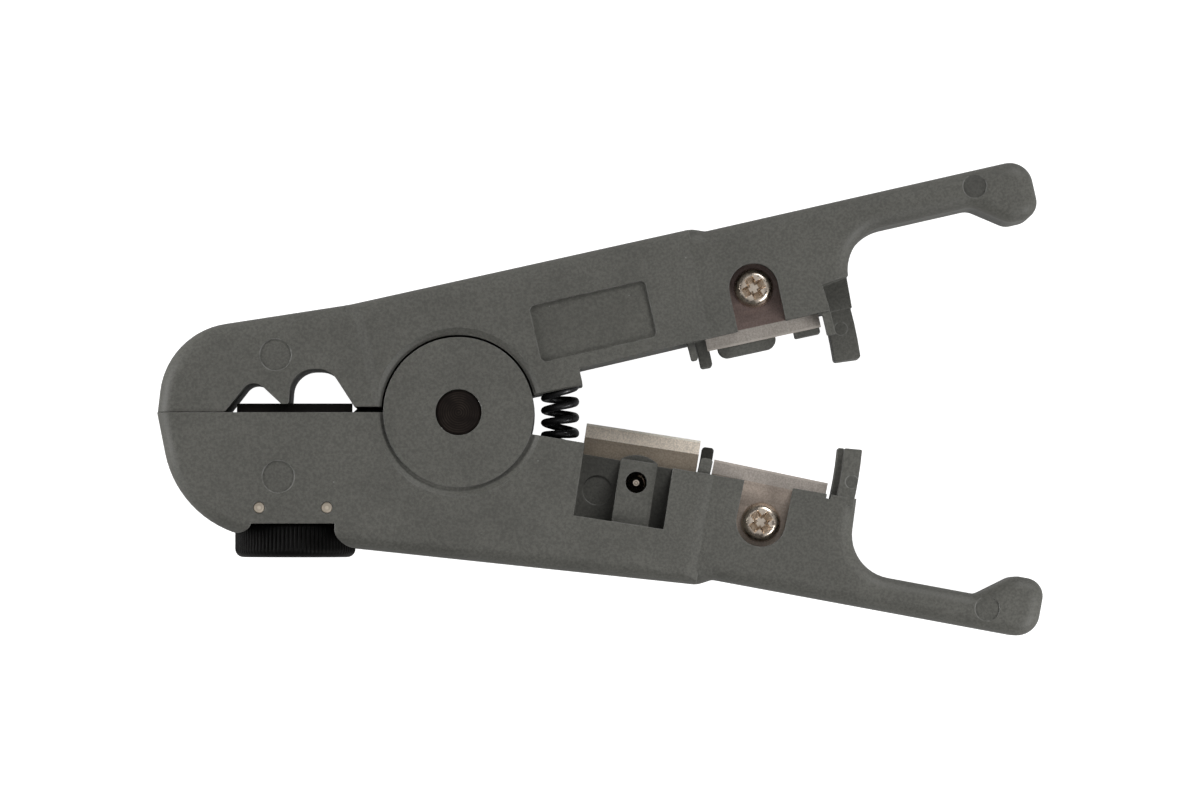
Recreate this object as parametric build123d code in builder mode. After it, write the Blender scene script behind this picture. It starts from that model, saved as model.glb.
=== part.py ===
from build123d import *
from math import cos, radians, sin
import os

# Cable jacket stripper: two moulded arms on one pivot, opened by a coil spring.
# Squeezing the handles closes the strip blades and the cutter and opens the nose.
# Millimetres. The pivot is the Z axis, the tool lies on its flat back at Z = 0,
# the handles point towards +X and the nose towards -X. It is drawn at rest, nose shut.

# Whole tool
body_thickness = 20.0
mid_plane = body_thickness / 2
edge_round = 2.2
jaw_gap = 0.05
fastener_clearance = 0.02
mark_depth = 0.15

# Hub: each arm carries half of the disc, the lower arm in front and the upper arm behind
hub_radius = 10.7
hub_relief = 0.3
hub_split = 0.06
hub_face_drop = 0.35
ring_depth = 0.7
ring_floor_width = 0.5
ring_slope_width = 0.8
pivot_radius = 3.25
pivot_clearance = 0.05
pivot_end_drop = 0.35
pivot_chamfer = 0.25

# Blades: one pattern, used four times
blade_length = 16.5
blade_height = 11.0
blade_thickness = 0.6
blade_bevel = 2.0
blade_edge_land = 0.12
blade_hole_radius = 1.6
blade_hole_drop = 7.4
blade_side_gap = 0.2
blade_face_gap = 0.05

# Pan head screws
screw_radius = 1.5
screw_head_radius = 2.8
screw_head_height = 1.9
screw_cross_width = 0.75
screw_cross_length = 3.2
screw_cross_depth = 0.9
strip_screw_length = 8.0
cutter_screw_length = 11.2
nose_screw_length = 4.5

# Upper arm: straight edges given by their angle and their distance from the pivot
upper_angle = 12.8
upper_hub_angle = 12.5
upper_hub_offset = 18.35
upper_handle_offset = 17.41
upper_shank_inner = 12.42
upper_inner_angle = 13.0
upper_inner_offset = 2.24
upper_hub_inner_angle = 12.0
upper_hub_inner_offset = 0.25
upper_tip = 86.95
upper_lobe = 8.95
upper_bay_lead = 13.65

# Lower arm
lower_angle = -10.5
lower_hub_angle = -6.05
lower_hub_offset = -20.745
lower_handle_offset = -16.78
lower_shank_inner = -12.0
lower_inner_angle = -9.47
lower_inner_offset = -2.82
lower_hub_inner_offset = -1.355
lower_tip = 86.5
lower_lobe = -8.4
lower_bay_lead = 13.4

# Nose, shared by both arms
nose_reach = 42.84
nose_round = 11.0
upper_nose_lean = 0.9
lower_nose_lean = 1.66
upper_nose_corner = (-41.57, 11.35)
lower_nose_corner = (-39.6, -16.65)
lower_nose_round = 15.0
crease_along = -11.67
upper_shoulder_along = 38.0
lower_shoulder_along = 36.4
shoulder_foot_along = 39.9
hub_inner_start = 4.0
inner_step_along = 18.1
lower_step_along = 18.4

# Hook ends of the handles
tip_round = 3.3
lobe_round = 2.6
lobe_length = 4.6
lobe_rise = 4.8
bay_round = 6.2
bay_step = 0.5
bay_lip = 2.0
middle_overlap = 20.0

# Half thickness along each arm, as stations of distance along it and height from the middle
nose_level = 9.6
handle_level = 9.35
nose_step = -11.5
nose_slope = 0.28
shoulder_groove = (33.4, 9.72)
shoulder_ridge = (35.4, 9.96)
shoulder_foot = (37.6, 9.25)
shoulder_slope = 0.08
station_round = 5.0
clear_level = 10.4

# Notches in the upper jaw
v_notch_left = -33.2
v_notch_apex = (-29.33, 5.03)
v_notch_round = 1.9
tooth_left = -25.2
tooth_right = -24.15
tooth_height = 1.2
round_notch_top = 6.16
round_notch_left = -23.8
round_notch_right = -18.27
round_notch_round = 3.3
round_notch_foot = -14.8
heel_gap = 0.8
heel_floor = 6.0
heel_toe = 0.8

# Nose blade, its holder and the thumb wheel that lifts it
wheel_x = -23.5
nose_blade_rise = 1.4
nose_blade_level = 13.0
holder_overhang = 0.2
holder_back = 7.4
holder_top = -0.8
holder_bottom = -10.75
holder_side_gap = 0.3
pocket_back = 7.1
pocket_front = 15.8
pocket_floor = -11.95
stud_radius = 2.0
stud_clearance = 0.05
stud_tip = -9.1
stud_root = -17.5
stud_bore_top = -7.8
wheel_radius = 8.62
wheel_top = -15.9
wheel_bottom = -20.52
wheel_bevel = 1.1
wheel_rib_count = 54
wheel_rib_depth = 0.32
wheel_dish_radius = 5.6
wheel_dish_depth = 0.5
neck_radius = 5.5
neck_clearance = 0.1
neck_top = -12.05
groove_clearance = 0.055
bay_top = -15.8
bay_radius = 11.6
bay_half_width = 9.1
pin_radius = 0.815
pin_spread = 4.81
pin_y = -13.55
pin_length = 19.5

# Strip blades, one in each arm
strip_reach = 45.0
strip_shift = 0.25
strip_edge_offset = 1.0
strip_edge_gap = 0.1
strip_upper_angle = 12.18
strip_lower_angle = -11.83
strip_level = 16.2
screw_well_width = 7.0
tab_back = 12.0
tab_drop = 1.5
tab_left = 6.8
tab_right = 1.6
tab_round = 1.4
tab_root = 3.5
block_drop = 0.85
block_left = 4.3
block_right = 8.0

# Cutter blade in the lower arm
cutter_reach = 26.47
cutter_edge_offset = 1.424
cutter_angle = -8.77
cutter_level = 10.7
window_left = 8.08
window_right = 4.83
window_depth = 13.42
window_floor = 13.2
boss_width = 5.3
boss_drop = 4.37
boss_level = 18.2
boss_crown = 0.9
boss_crown_level = 16.6
well_radius = 3.2
well_depth = 2.4

# Interlocking posts and pegs at the two ends of the strip blades
upper_reach = strip_reach - strip_shift
lower_reach = strip_reach + strip_shift
strip_half = blade_length / 2
post_inner = lower_reach + strip_half + 0.7
post_outer = post_inner + 3.8
lower_post_outer = post_inner + 3.4
post_step = post_inner + 0.9
post_slit_inner = post_inner - 0.6
post_slit_end = -13.15
post_gap = 0.35
post_face_gap = 0.2
upper_post_tip = 7.9
lower_post_tip = -5.3
upper_notch_top = 19.4
lower_notch_end = -15.6
strip_front = 17.1
rib_tip = 11.75
rib_inner = post_inner - 0.7
post_front = 19.2
post_back = 0.9
peg_outer = lower_reach - strip_half - 0.2
peg_inner = peg_outer - 1.7
front_peg_outer = peg_inner - 0.2
front_peg_inner = front_peg_outer - 1.0
front_peg_tip = 12.4
mid_peg_tip = 10.4
front_bump_tip = -10.5
tall_peg_tip = -7.65
peg_round = 0.45
mid_peg_levels = (8.0, 14.6)
front_peg_levels = (14.9, 19.0)
tall_peg_levels = (1.2, 7.6)

# Opening spring
spring_x = 14.38
spring_wire = 1.1
spring_mean_radius = 2.2
spring_pitch = 2.2
spring_pocket_radius = 3.15
spring_pocket_top = 7.5
spring_pocket_bottom = -8.4
spring_seat_gap = 0.05

# Bare recessed panel on the upper arm
panel_width = 16.9
panel_height = 8.2
panel_round = 0.8
panel_depth = 0.4
panel_along = 21.5
panel_offset = 8.35

# Round moulding marks: place, radius and the level that each is sunk from
upper_marks = [(-26.01, 8.16, 2.25, nose_level), (73.39, 32.16, 1.7, handle_level)]
lower_marks = [(-25.59, -9.16, 2.3, mid_plane), (75.09, -27.9, 1.75, handle_level)]
window_mark = (19.71, -11.0, 2.1)

far = 70.0


def on_line(angle, offset, along):
    """Point at a distance along a line that passes the pivot at an offset to its left."""
    c, s = cos(radians(angle)), sin(radians(angle))
    return (along * c - offset * s, along * s + offset * c)


def polar(radius, angle):
    """Point at a radius and angle about the pivot."""
    return (radius * cos(radians(angle)), radius * sin(radians(angle)))


def rounded(corners):
    """Closed outline of corners (x, y, radius), as a sketch."""
    with BuildSketch() as shape:
        with BuildLine():
            Polyline(*[(x, y) for x, y, _ in corners], close=True)
        make_face()
        for x, y, radius in corners:
            if radius > 0:
                fillet(shape.vertices().sort_by_distance((x, y))[0], radius)
    return shape.sketch


def sector(inner, outer, low, high, tip_radius=0, tip_at_low=True):
    """Slice of a ring about the pivot between two angles, its tip corners rounded."""
    tip = low if tip_at_low else high
    with BuildSketch() as shape:
        with BuildLine():
            CenterArc((0, 0), inner, low, high - low)
            CenterArc((0, 0), outer, low, high - low)
            Line(polar(inner, low), polar(outer, low))
            Line(polar(inner, high), polar(outer, high))
        make_face()
        if tip_radius > 0:
            for radius in (inner, outer):
                fillet(shape.vertices().sort_by_distance(polar(radius, tip))[0], tip_radius)
    return shape.sketch


def arm_plane(angle):
    """Upright plane through the pivot along an arm, its x along the arm and its y up."""
    c, s = cos(radians(angle)), sin(radians(angle))
    return Plane(origin=(0, 0, mid_plane), x_dir=(c, s, 0), z_dir=(s, -c, 0))


def thickness_profile(stepped_nose):
    """Side view of the raised hub: it slopes to the nose and has a ridge before the handle."""
    groove_x, groove_h = shoulder_groove
    start = groove_x - (clear_level - groove_h) / shoulder_slope
    stations = [(start, clear_level, 0)]
    stations += [(*place, station_round) for place in (shoulder_groove, shoulder_ridge)]
    stations += [(*shoulder_foot, 0)]
    nose_x = nose_step + (clear_level - nose_level) / nose_slope
    nose_foot_x = nose_step - (nose_level - handle_level) / nose_slope
    if stepped_nose:
        stations = [(nose_foot_x, handle_level, 0), (nose_x, clear_level, 0)] + stations
    else:
        stations = [(-far, clear_level, 0)] + stations
    under = [(x, -height, radius) for x, height, radius in reversed(stations)]
    return rounded(stations + under)


def slab(outline, half_thickness):
    """Outline raised to both sides of the middle plane, its face edges rounded."""
    with BuildPart() as plate:
        with BuildSketch(Plane.XY.offset(mid_plane)):
            add(outline)
        extrude(amount=half_thickness, both=True)
        fillet(plate.edges().filter_by(Axis.Z, reverse=True), edge_round)
    return plate.part


def handle_corners(angle, outer, inner, tip, lobe, bay):
    """Corners of one handle's hook, from its outer edge round the tip to the finger bay."""
    side = 1 if outer > 0 else -1
    places = [
        (tip, outer, tip_round),
        (tip, lobe, lobe_round),
        (tip - lobe_length, lobe, lobe_round),
        (tip - lobe_length - lobe_rise, inner, lobe_round),
        (bay, inner, bay_round),
        (bay - bay_step, side * bay_lip, 0),
        (bay - bay_step, -side * middle_overlap, 0),
    ]
    return [(*on_line(angle, offset, along), radius) for along, offset, radius in places]


def shoulder_corners(hub_angle, hub_offset, hub_along, handle_angle, handle_offset):
    """The two corners where an arm steps in from its hub to its handle."""
    high = on_line(hub_angle, hub_offset, hub_along)
    low = on_line(handle_angle, handle_offset, shoulder_foot_along)
    return [(*high, 3.0), (*low, 1.5)]


def hub_ring():
    """Shallow dished ring that frames the hub disc, cut from the face at Z = 0 upwards."""
    floor_radius = hub_radius + ring_floor_width
    rim_radius = floor_radius + ring_slope_width
    with BuildPart() as ring:
        with BuildSketch(Plane.XZ):
            with BuildLine():
                Polyline(
                    (0, 0),
                    (rim_radius, 0),
                    (floor_radius, ring_depth),
                    (0, ring_depth),
                    close=True,
                )
            make_face()
        revolve(axis=Axis.Z)
    return ring.part


def blade_plane(angle, offset, reach, level, faces_up=True):
    """Plane on a blade's back face: x along its edge, y out past the edge."""
    way = 1 if faces_up else -1
    c, s = cos(radians(angle)), sin(radians(angle))
    x, y = on_line(angle, offset, reach)
    return Plane(origin=(x, y, level), x_dir=(way * c, way * s, 0), z_dir=(0, 0, 1))


def blade(plane):
    """One blade with a bevelled edge and a screw hole."""
    side = Plane(origin=plane.origin, x_dir=plane.y_dir, z_dir=plane.x_dir)
    with BuildPart() as piece:
        with BuildSketch(side):
            with BuildLine():
                Polyline(
                    (-blade_height, 0),
                    (0, 0),
                    (0, blade_edge_land),
                    (-blade_bevel, blade_thickness),
                    (-blade_height, blade_thickness),
                    close=True,
                )
            make_face()
        extrude(amount=blade_length / 2, both=True)
        with BuildSketch(plane):
            with Locations((0, -blade_hole_drop)):
                Circle(blade_hole_radius)
        extrude(amount=blade_thickness, mode=Mode.SUBTRACT)
    return piece.part


def blade_slot(plane):
    """Slot that takes a blade and opens past its edge."""
    with BuildPart() as slot:
        with BuildSketch(plane):
            with Locations((0, -(blade_height + blade_side_gap) / 2 + far / 2)):
                Rectangle(
                    blade_length + 2 * blade_side_gap,
                    blade_height + blade_side_gap + far,
                )
        extrude(amount=blade_thickness + blade_face_gap)
    return slot.part


def hole_plane(plane, height):
    """Plane on a blade's screw hole, at a height above the blade's back face."""
    x, y, z = plane.from_local_coords((0, -blade_hole_drop, height))
    return Plane(origin=(x, y, z), x_dir=plane.x_dir, z_dir=plane.z_dir)


def pan_screw(seat, length):
    """Pan head screw with a cross recess, its head standing on the seat plane."""
    with BuildPart() as piece:
        with BuildSketch(seat):
            Circle(screw_head_radius)
        extrude(amount=screw_head_height)
        crown = piece.faces().sort_by(Axis(seat.origin, seat.z_dir))[-1]
        fillet(crown.edges(), screw_head_height * 0.55)
        with BuildSketch(seat):
            Circle(screw_radius)
        extrude(amount=-length)
        tip = piece.faces().sort_by(Axis(seat.origin, seat.z_dir))[0]
        chamfer(tip.edges(), screw_radius * 0.25)
        with BuildSketch(seat.offset(screw_head_height - screw_cross_depth)):
            Rectangle(screw_cross_length, screw_cross_width)
            Rectangle(screw_cross_width, screw_cross_length)
        extrude(amount=screw_cross_depth, mode=Mode.SUBTRACT)
    return piece.part


def screw_well(plane):
    """Round ended opening in front of a strip blade that clears its screw head."""
    with BuildPart() as well:
        with BuildSketch(plane.offset(blade_thickness)):
            with Locations((0, -blade_hole_drop)):
                Circle(screw_well_width / 2)
            with Locations((0, (far - blade_hole_drop) / 2)):
                Rectangle(screw_well_width, far + blade_hole_drop)
        extrude(amount=mid_plane)
    return well.part


def screw_hole(plane, length):
    """Clearance hole under a blade for its screw."""
    with BuildPart() as hole:
        with BuildSketch(hole_plane(plane, 0)):
            Circle(screw_radius + fastener_clearance)
        extrude(amount=-length)
    return hole.part


def raised(shape, low, high):
    """Sketch raised between two levels."""
    with BuildPart() as block:
        with BuildSketch(Plane.XY.offset(low)):
            add(shape)
        extrude(amount=high - low)
    return block.part


def disc_at(x, y, radius):
    """Round sketch at a place."""
    with BuildSketch() as shape:
        with Locations((x, y)):
            Circle(radius)
    return shape.sketch


def mark_cut(x, y, radius, half_level):
    """Cut for one round moulding mark in the front face."""
    level = mid_plane + half_level - mark_depth
    return raised(disc_at(x, y, radius), level, level + mid_plane)


def spring_pocket(end):
    """Blind pocket for one end of the opening spring."""
    with BuildPart() as pocket:
        with BuildSketch(Plane(origin=(spring_x, 0, mid_plane), x_dir=(1, 0, 0), z_dir=(0, 1, 0))):
            Circle(spring_pocket_radius)
        extrude(amount=end)
    return pocket.part


def hub_cuts(relief_low, relief_high):
    """Dished rings of both faces and the relief that clears the other arm's half disc."""
    with BuildPart() as cuts:
        add(hub_ring())
        add(mirror(hub_ring(), about=Plane.XY.offset(mid_plane), mode=Mode.PRIVATE))
        add(raised(disc_at(0, 0, hub_radius + hub_relief), relief_low, relief_high))
    return cuts.part


strip_upper = blade_plane(
    strip_upper_angle, strip_edge_offset + strip_edge_gap / 2, upper_reach, strip_level, False
)
strip_lower = blade_plane(
    strip_lower_angle, strip_edge_offset - strip_edge_gap / 2, lower_reach, strip_level
)
cutter = blade_plane(cutter_angle, cutter_edge_offset, cutter_reach, cutter_level)
nose = Plane(origin=(wheel_x, nose_blade_rise, nose_blade_level), x_dir=(1, 0, 0), z_dir=(0, 0, 1))
wheel_axis = Axis((wheel_x, 0, mid_plane), (0, 1, 0))
wheel_plane = Plane(origin=(wheel_x, 0, mid_plane), x_dir=(1, 0, 0), z_dir=(0, 1, 0))
front_disc_top = body_thickness - hub_face_drop
split_half = hub_split / 2
peg_root = 3.0
holder_width = blade_length + 2 * holder_overhang

os.makedirs("parts", exist_ok=True)

# Upper arm: the notched jaw, the back half of the hub disc and one strip blade
nose_foot_upper = (-nose_reach - upper_nose_lean, -8.0, 0)
upper_outline = rounded(
    [nose_foot_upper, (*upper_nose_corner, nose_round)]
    + [(*on_line(upper_hub_angle, upper_hub_offset, crease_along), 8.0)]
    + shoulder_corners(
        upper_hub_angle, upper_hub_offset, upper_shoulder_along, upper_angle, upper_handle_offset
    )
    + handle_corners(
        upper_angle, upper_handle_offset, upper_shank_inner, upper_tip, upper_lobe, strip_reach + upper_bay_lead
    )
)
upper_trim = rounded(
    [
        (-far, jaw_gap, 0),
        (v_notch_left, jaw_gap, 0),
        (*v_notch_apex, v_notch_round),
        (tooth_left, tooth_height, 0.3),
        (tooth_right, tooth_height, 0.3),
        (round_notch_left, round_notch_top, round_notch_round),
        (round_notch_right, round_notch_top, round_notch_round),
        (round_notch_foot, heel_gap, 0),
        (round_notch_foot - heel_toe, jaw_gap, 0),
        (0, jaw_gap, 0),
        (*on_line(upper_hub_inner_angle, upper_hub_inner_offset, hub_inner_start), 0),
        (*on_line(upper_hub_inner_angle, upper_hub_inner_offset, inner_step_along), 0.3),
        (*on_line(upper_inner_angle, upper_inner_offset, inner_step_along), 0.2),
        (*on_line(upper_inner_angle, upper_inner_offset, far), 0),
        (far, -far, 0),
        (-far, -far, 0),
    ]
)
with BuildPart() as upper_nose:
    add(slab(upper_outline, nose_level))
    with BuildSketch(arm_plane(upper_angle).offset(-far)):
        with Locations((nose_step - far / 2, 0)):
            Rectangle(far, far)
    extrude(amount=2 * far, mode=Mode.INTERSECT)

upper_tab = rounded(
    [
        (tab_left, -tab_root, 0),
        (tab_left, tab_drop, tab_round),
        (-tab_right, tab_drop, tab_round),
        (-tab_right, -tab_root, 0),
    ]
)
upper_block = rounded(
    [
        (-block_left, -tab_root, 0),
        (-block_left, block_drop, 0.3),
        (-block_right, block_drop, 0.3),
        (-block_right, -tab_root, 0),
    ]
)
rib_outer = post_step - post_gap
upper_root = upper_inner_angle + peg_root
panel_x, panel_y = on_line(upper_angle, panel_offset, panel_along)
panel_plane = Plane(
    origin=(panel_x, panel_y, body_thickness),
    x_dir=(cos(radians(upper_angle)), sin(radians(upper_angle)), 0),
    z_dir=(0, 0, 1),
)
with BuildPart() as upper_arm:
    add(slab(upper_outline, mid_plane))
    with BuildSketch(arm_plane(upper_angle).offset(-far)):
        add(thickness_profile(True))
    extrude(amount=2 * far, mode=Mode.INTERSECT)
    add(upper_nose.part)
    add(slab(upper_outline, handle_level))
    with BuildSketch():
        add(upper_trim)
    extrude(amount=body_thickness, mode=Mode.SUBTRACT)
    # Slot under the front of the heel, between the round notch and the hub
    with BuildSketch(Plane.XY.offset(heel_floor)):
        with Locations((round_notch_foot / 2 - heel_toe, 0)):
            Rectangle(-round_notch_foot, 2 * heel_gap)
    extrude(amount=body_thickness, mode=Mode.SUBTRACT)
    add(hub_cuts(mid_plane - split_half, body_thickness), mode=Mode.SUBTRACT)
    add(raised(disc_at(0, 0, hub_radius), hub_face_drop, mid_plane - split_half))
    add(
        raised(disc_at(0, 0, pivot_radius + pivot_clearance), 0, body_thickness),
        mode=Mode.SUBTRACT,
    )
    add(spring_pocket(spring_pocket_top), mode=Mode.SUBTRACT)
    with BuildSketch(panel_plane):
        RectangleRounded(panel_width, panel_height, panel_round)
    extrude(amount=-panel_depth, mode=Mode.SUBTRACT)
    # Slit that lets the nose blade rise into the tooth
    with BuildSketch(nose.offset(-holder_side_gap)):
        Rectangle(blade_length + 4 * holder_side_gap, 1.0 + 2 * nose_blade_rise)
    extrude(amount=blade_thickness + 2 * holder_side_gap, mode=Mode.SUBTRACT)
    # Strip blade seat
    add(blade_slot(strip_upper), mode=Mode.SUBTRACT)
    add(screw_well(strip_upper), mode=Mode.SUBTRACT)
    add(screw_hole(strip_upper, strip_screw_length), mode=Mode.SUBTRACT)
    with BuildSketch(strip_upper.offset(tab_back - strip_level)):
        add(upper_tab)
        add(upper_block)
    extrude(amount=strip_level - tab_back)
    # Room for the lower arm's post, then this arm's own rib, post and pegs
    add(
        raised(sector(rib_outer, far, 0, upper_notch_top), mid_plane, body_thickness),
        mode=Mode.SUBTRACT,
    )
    add(
        raised(
            sector(post_inner - post_gap, far, 0, upper_notch_top),
            mid_plane,
            strip_front + post_face_gap,
        ),
        mode=Mode.SUBTRACT,
    )
    add(
        raised(
            sector(rib_inner, rib_outer, rib_tip, upper_root, 0.25),
            strip_front + 2 * post_face_gap,
            post_front,
        )
    )
    add(
        raised(
            sector(post_inner, post_outer, upper_post_tip, upper_root, peg_round),
            post_back,
            mid_plane - post_face_gap,
        )
    )
    upper_peg_root = upper_root + 2.5
    add(
        raised(
            sector(front_peg_inner, front_peg_outer, front_peg_tip, upper_peg_root, 0.35),
            *front_peg_levels,
        )
    )
    add(
        raised(
            sector(peg_inner, peg_outer, mid_peg_tip, upper_peg_root, peg_round),
            *mid_peg_levels,
        )
    )
    for x, y, radius, half_level in upper_marks:
        add(mark_cut(x, y, radius, half_level), mode=Mode.SUBTRACT)
upper_arm.part.label = "upper_arm"
export_step(upper_arm.part, "parts/upper_arm.step")

# Lower arm: the jaw with the lifting blade, the front half of the hub disc, the cutter and
# the other strip blade
nose_foot_lower = (-nose_reach - lower_nose_lean, 8.0, 0)
lower_outline = rounded(
    [nose_foot_lower, (*lower_nose_corner, lower_nose_round)]
    + shoulder_corners(
        lower_hub_angle, lower_hub_offset, lower_shoulder_along, lower_angle, lower_handle_offset
    )
    + handle_corners(
        lower_angle, lower_handle_offset, lower_shank_inner, lower_tip, lower_lobe, strip_reach + lower_bay_lead
    )
)
lower_trim = rounded(
    [
        (-far, 0, 0),
        (0, 0, 0),
        (*on_line(lower_inner_angle, lower_hub_inner_offset, hub_inner_start), 0),
        (*on_line(lower_inner_angle, lower_hub_inner_offset, lower_step_along), 0.2),
        (*on_line(lower_inner_angle, lower_inner_offset, lower_step_along), 0.2),
        (*on_line(lower_inner_angle, lower_inner_offset, far), 0),
        (far, far, 0),
        (-far, far, 0),
    ]
)
lower_root = lower_inner_angle - peg_root
with BuildSketch() as boss_top:
    with BuildLine():
        Line((-boss_width / 2, 0), (boss_width / 2, 0))
        ThreePointArc((-boss_width / 2, 0), (0, boss_crown), (boss_width / 2, 0))
    make_face()
pin_places = [(wheel_x - pin_spread, pin_y), (wheel_x + pin_spread, pin_y)]
with BuildPart() as lower_arm:
    add(slab(lower_outline, mid_plane))
    with BuildSketch(arm_plane(lower_angle).offset(-far)):
        add(thickness_profile(False))
    extrude(amount=2 * far, mode=Mode.INTERSECT)
    add(slab(lower_outline, handle_level))
    with BuildSketch():
        add(lower_trim)
    extrude(amount=body_thickness, mode=Mode.SUBTRACT)
    add(hub_cuts(0, mid_plane + split_half), mode=Mode.SUBTRACT)
    add(raised(disc_at(0, 0, hub_radius), mid_plane + split_half, front_disc_top))
    add(
        raised(disc_at(0, 0, pivot_radius + fastener_clearance), 0, body_thickness),
        mode=Mode.SUBTRACT,
    )
    add(spring_pocket(spring_pocket_bottom), mode=Mode.SUBTRACT)
    # Pocket of the blade holder, bore of the wheel's neck, wheel bay and pin holes
    with BuildSketch(Plane.XY.offset(pocket_back)):
        with Locations((wheel_x, pocket_floor / 2 + 1)):
            Rectangle(holder_width + 2 * holder_side_gap, -pocket_floor + 2)
    extrude(amount=pocket_front - pocket_back, mode=Mode.SUBTRACT)
    with BuildSketch(wheel_plane.offset(bay_top - 1)):
        Circle(neck_radius + neck_clearance)
    extrude(amount=pocket_floor - bay_top + 2, mode=Mode.SUBTRACT)
    with BuildSketch(wheel_plane.offset(bay_top)):
        Circle(bay_radius)
        Rectangle(2 * bay_half_width, 2 * bay_radius, mode=Mode.INTERSECT)
    extrude(amount=-bay_radius, mode=Mode.SUBTRACT)
    for x, y in pin_places:
        add(
            raised(disc_at(x, y, pin_radius + fastener_clearance), 0, body_thickness),
            mode=Mode.SUBTRACT,
        )
    # Cutter: window, boss, blade slot and the screw's hole with its well in the back
    with BuildSketch(cutter.offset(window_floor - cutter_level)):
        with Locations(((window_right - window_left) / 2, (far - window_depth) / 2)):
            Rectangle(window_left + window_right, far + window_depth)
    extrude(amount=mid_plane, mode=Mode.SUBTRACT)
    with BuildSketch(cutter.offset(window_floor - cutter_level)):
        with Locations((0, -(window_depth + boss_drop) / 2)):
            Rectangle(boss_width, window_depth - boss_drop)
    extrude(amount=boss_level - window_floor)
    with BuildSketch(cutter.offset(window_floor - cutter_level)):
        with Locations((0, -boss_drop)):
            add(boss_top.sketch)
    extrude(amount=boss_crown_level - window_floor)
    add(blade_slot(cutter), mode=Mode.SUBTRACT)
    with BuildSketch(hole_plane(cutter, -cutter_level)):
        Circle(screw_radius + fastener_clearance)
    extrude(amount=body_thickness, mode=Mode.SUBTRACT)
    with BuildSketch(hole_plane(cutter, -cutter_level)):
        Circle(well_radius)
    extrude(amount=well_depth, mode=Mode.SUBTRACT)
    # Strip blade seat
    add(blade_slot(strip_lower), mode=Mode.SUBTRACT)
    add(screw_well(strip_lower), mode=Mode.SUBTRACT)
    add(screw_hole(strip_lower, strip_screw_length), mode=Mode.SUBTRACT)
    # Room for the upper arm's post, then this arm's own post and pegs
    add(
        raised(
            sector(post_inner - post_gap, far, lower_notch_end, 0),
            0,
            mid_plane + post_face_gap / 2,
        ),
        mode=Mode.SUBTRACT,
    )
    add(
        raised(
            sector(post_slit_inner, post_inner, post_slit_end, 0),
            mid_plane,
            body_thickness,
        ),
        mode=Mode.SUBTRACT,
    )
    add(
        raised(
            sector(post_inner, post_step, lower_root, lower_post_tip, 0.2, False),
            mid_plane + post_face_gap,
            strip_front,
        )
    )
    add(
        raised(
            sector(post_step, lower_post_outer, lower_root - 1, lower_post_tip, 0.2, False),
            mid_plane + post_face_gap,
            post_front,
        )
    )
    add(
        raised(
            sector(peg_inner, peg_outer, lower_root - 3, front_bump_tip, peg_round, False),
            *front_peg_levels,
        )
    )
    add(
        raised(
            sector(peg_inner, peg_outer, lower_root - 3, tall_peg_tip, peg_round, False),
            *tall_peg_levels,
        )
    )
    for x, y, radius, half_level in lower_marks:
        add(mark_cut(x, y, radius, half_level), mode=Mode.SUBTRACT)
    add(mark_cut(*window_mark, window_floor - mid_plane), mode=Mode.SUBTRACT)
lower_arm.part.label = "lower_arm"
export_step(lower_arm.part, "parts/lower_arm.step")

# Pivot pin
with BuildPart() as pivot_pin:
    with BuildSketch(Plane.XY.offset(hub_face_drop + pivot_end_drop)):
        Circle(pivot_radius)
    extrude(amount=body_thickness - 2 * (hub_face_drop + pivot_end_drop))
    chamfer(pivot_pin.edges().filter_by(GeomType.CIRCLE), pivot_chamfer)
pivot_pin.part.label = "pivot_pin"
export_step(pivot_pin.part, "parts/pivot_pin.step")

# Opening spring
coil_low = spring_pocket_bottom + spring_wire / 2 + spring_seat_gap
coil_high = spring_pocket_top - spring_wire / 2 - spring_seat_gap
with BuildPart() as handle_spring:
    with BuildLine() as coil:
        Helix(
            spring_pitch,
            coil_high - coil_low,
            spring_mean_radius,
            center=(spring_x, coil_low, mid_plane),
            direction=(0, 1, 0),
        )
    with BuildSketch(Plane(origin=coil.line @ 0, z_dir=coil.line % 0)):
        RegularPolygon(spring_wire / 2, 6)
    sweep(is_frenet=True)
handle_spring.part.label = "handle_spring"
export_step(handle_spring.part, "parts/handle_spring.step")

# Four blades of one pattern
with BuildPart() as upper_strip_blade:
    add(blade(strip_upper))
upper_strip_blade.part.label = "upper_strip_blade"
export_step(upper_strip_blade.part, "parts/upper_strip_blade.step")

with BuildPart() as lower_strip_blade:
    add(blade(strip_lower))
lower_strip_blade.part.label = "lower_strip_blade"
export_step(lower_strip_blade.part, "parts/lower_strip_blade.step")

with BuildPart() as cutter_blade:
    add(blade(cutter))
cutter_blade.part.label = "cutter_blade"
export_step(cutter_blade.part, "parts/cutter_blade.step")

with BuildPart() as nose_blade:
    add(blade(nose))
nose_blade.part.label = "nose_blade"
export_step(nose_blade.part, "parts/nose_blade.step")

# Their screws
with BuildPart() as upper_strip_screw:
    add(pan_screw(hole_plane(strip_upper, blade_thickness), strip_screw_length))
upper_strip_screw.part.label = "upper_strip_screw"
export_step(upper_strip_screw.part, "parts/upper_strip_screw.step")

with BuildPart() as lower_strip_screw:
    add(pan_screw(hole_plane(strip_lower, blade_thickness), strip_screw_length))
lower_strip_screw.part.label = "lower_strip_screw"
export_step(lower_strip_screw.part, "parts/lower_strip_screw.step")

cutter_hole = hole_plane(cutter, well_depth - cutter_level)
with BuildPart() as cutter_screw:
    add(
        pan_screw(
            Plane(origin=cutter_hole.origin, x_dir=cutter_hole.x_dir, z_dir=(0, 0, -1)),
            cutter_screw_length,
        )
    )
cutter_screw.part.label = "cutter_screw"
export_step(cutter_screw.part, "parts/cutter_screw.step")

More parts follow.
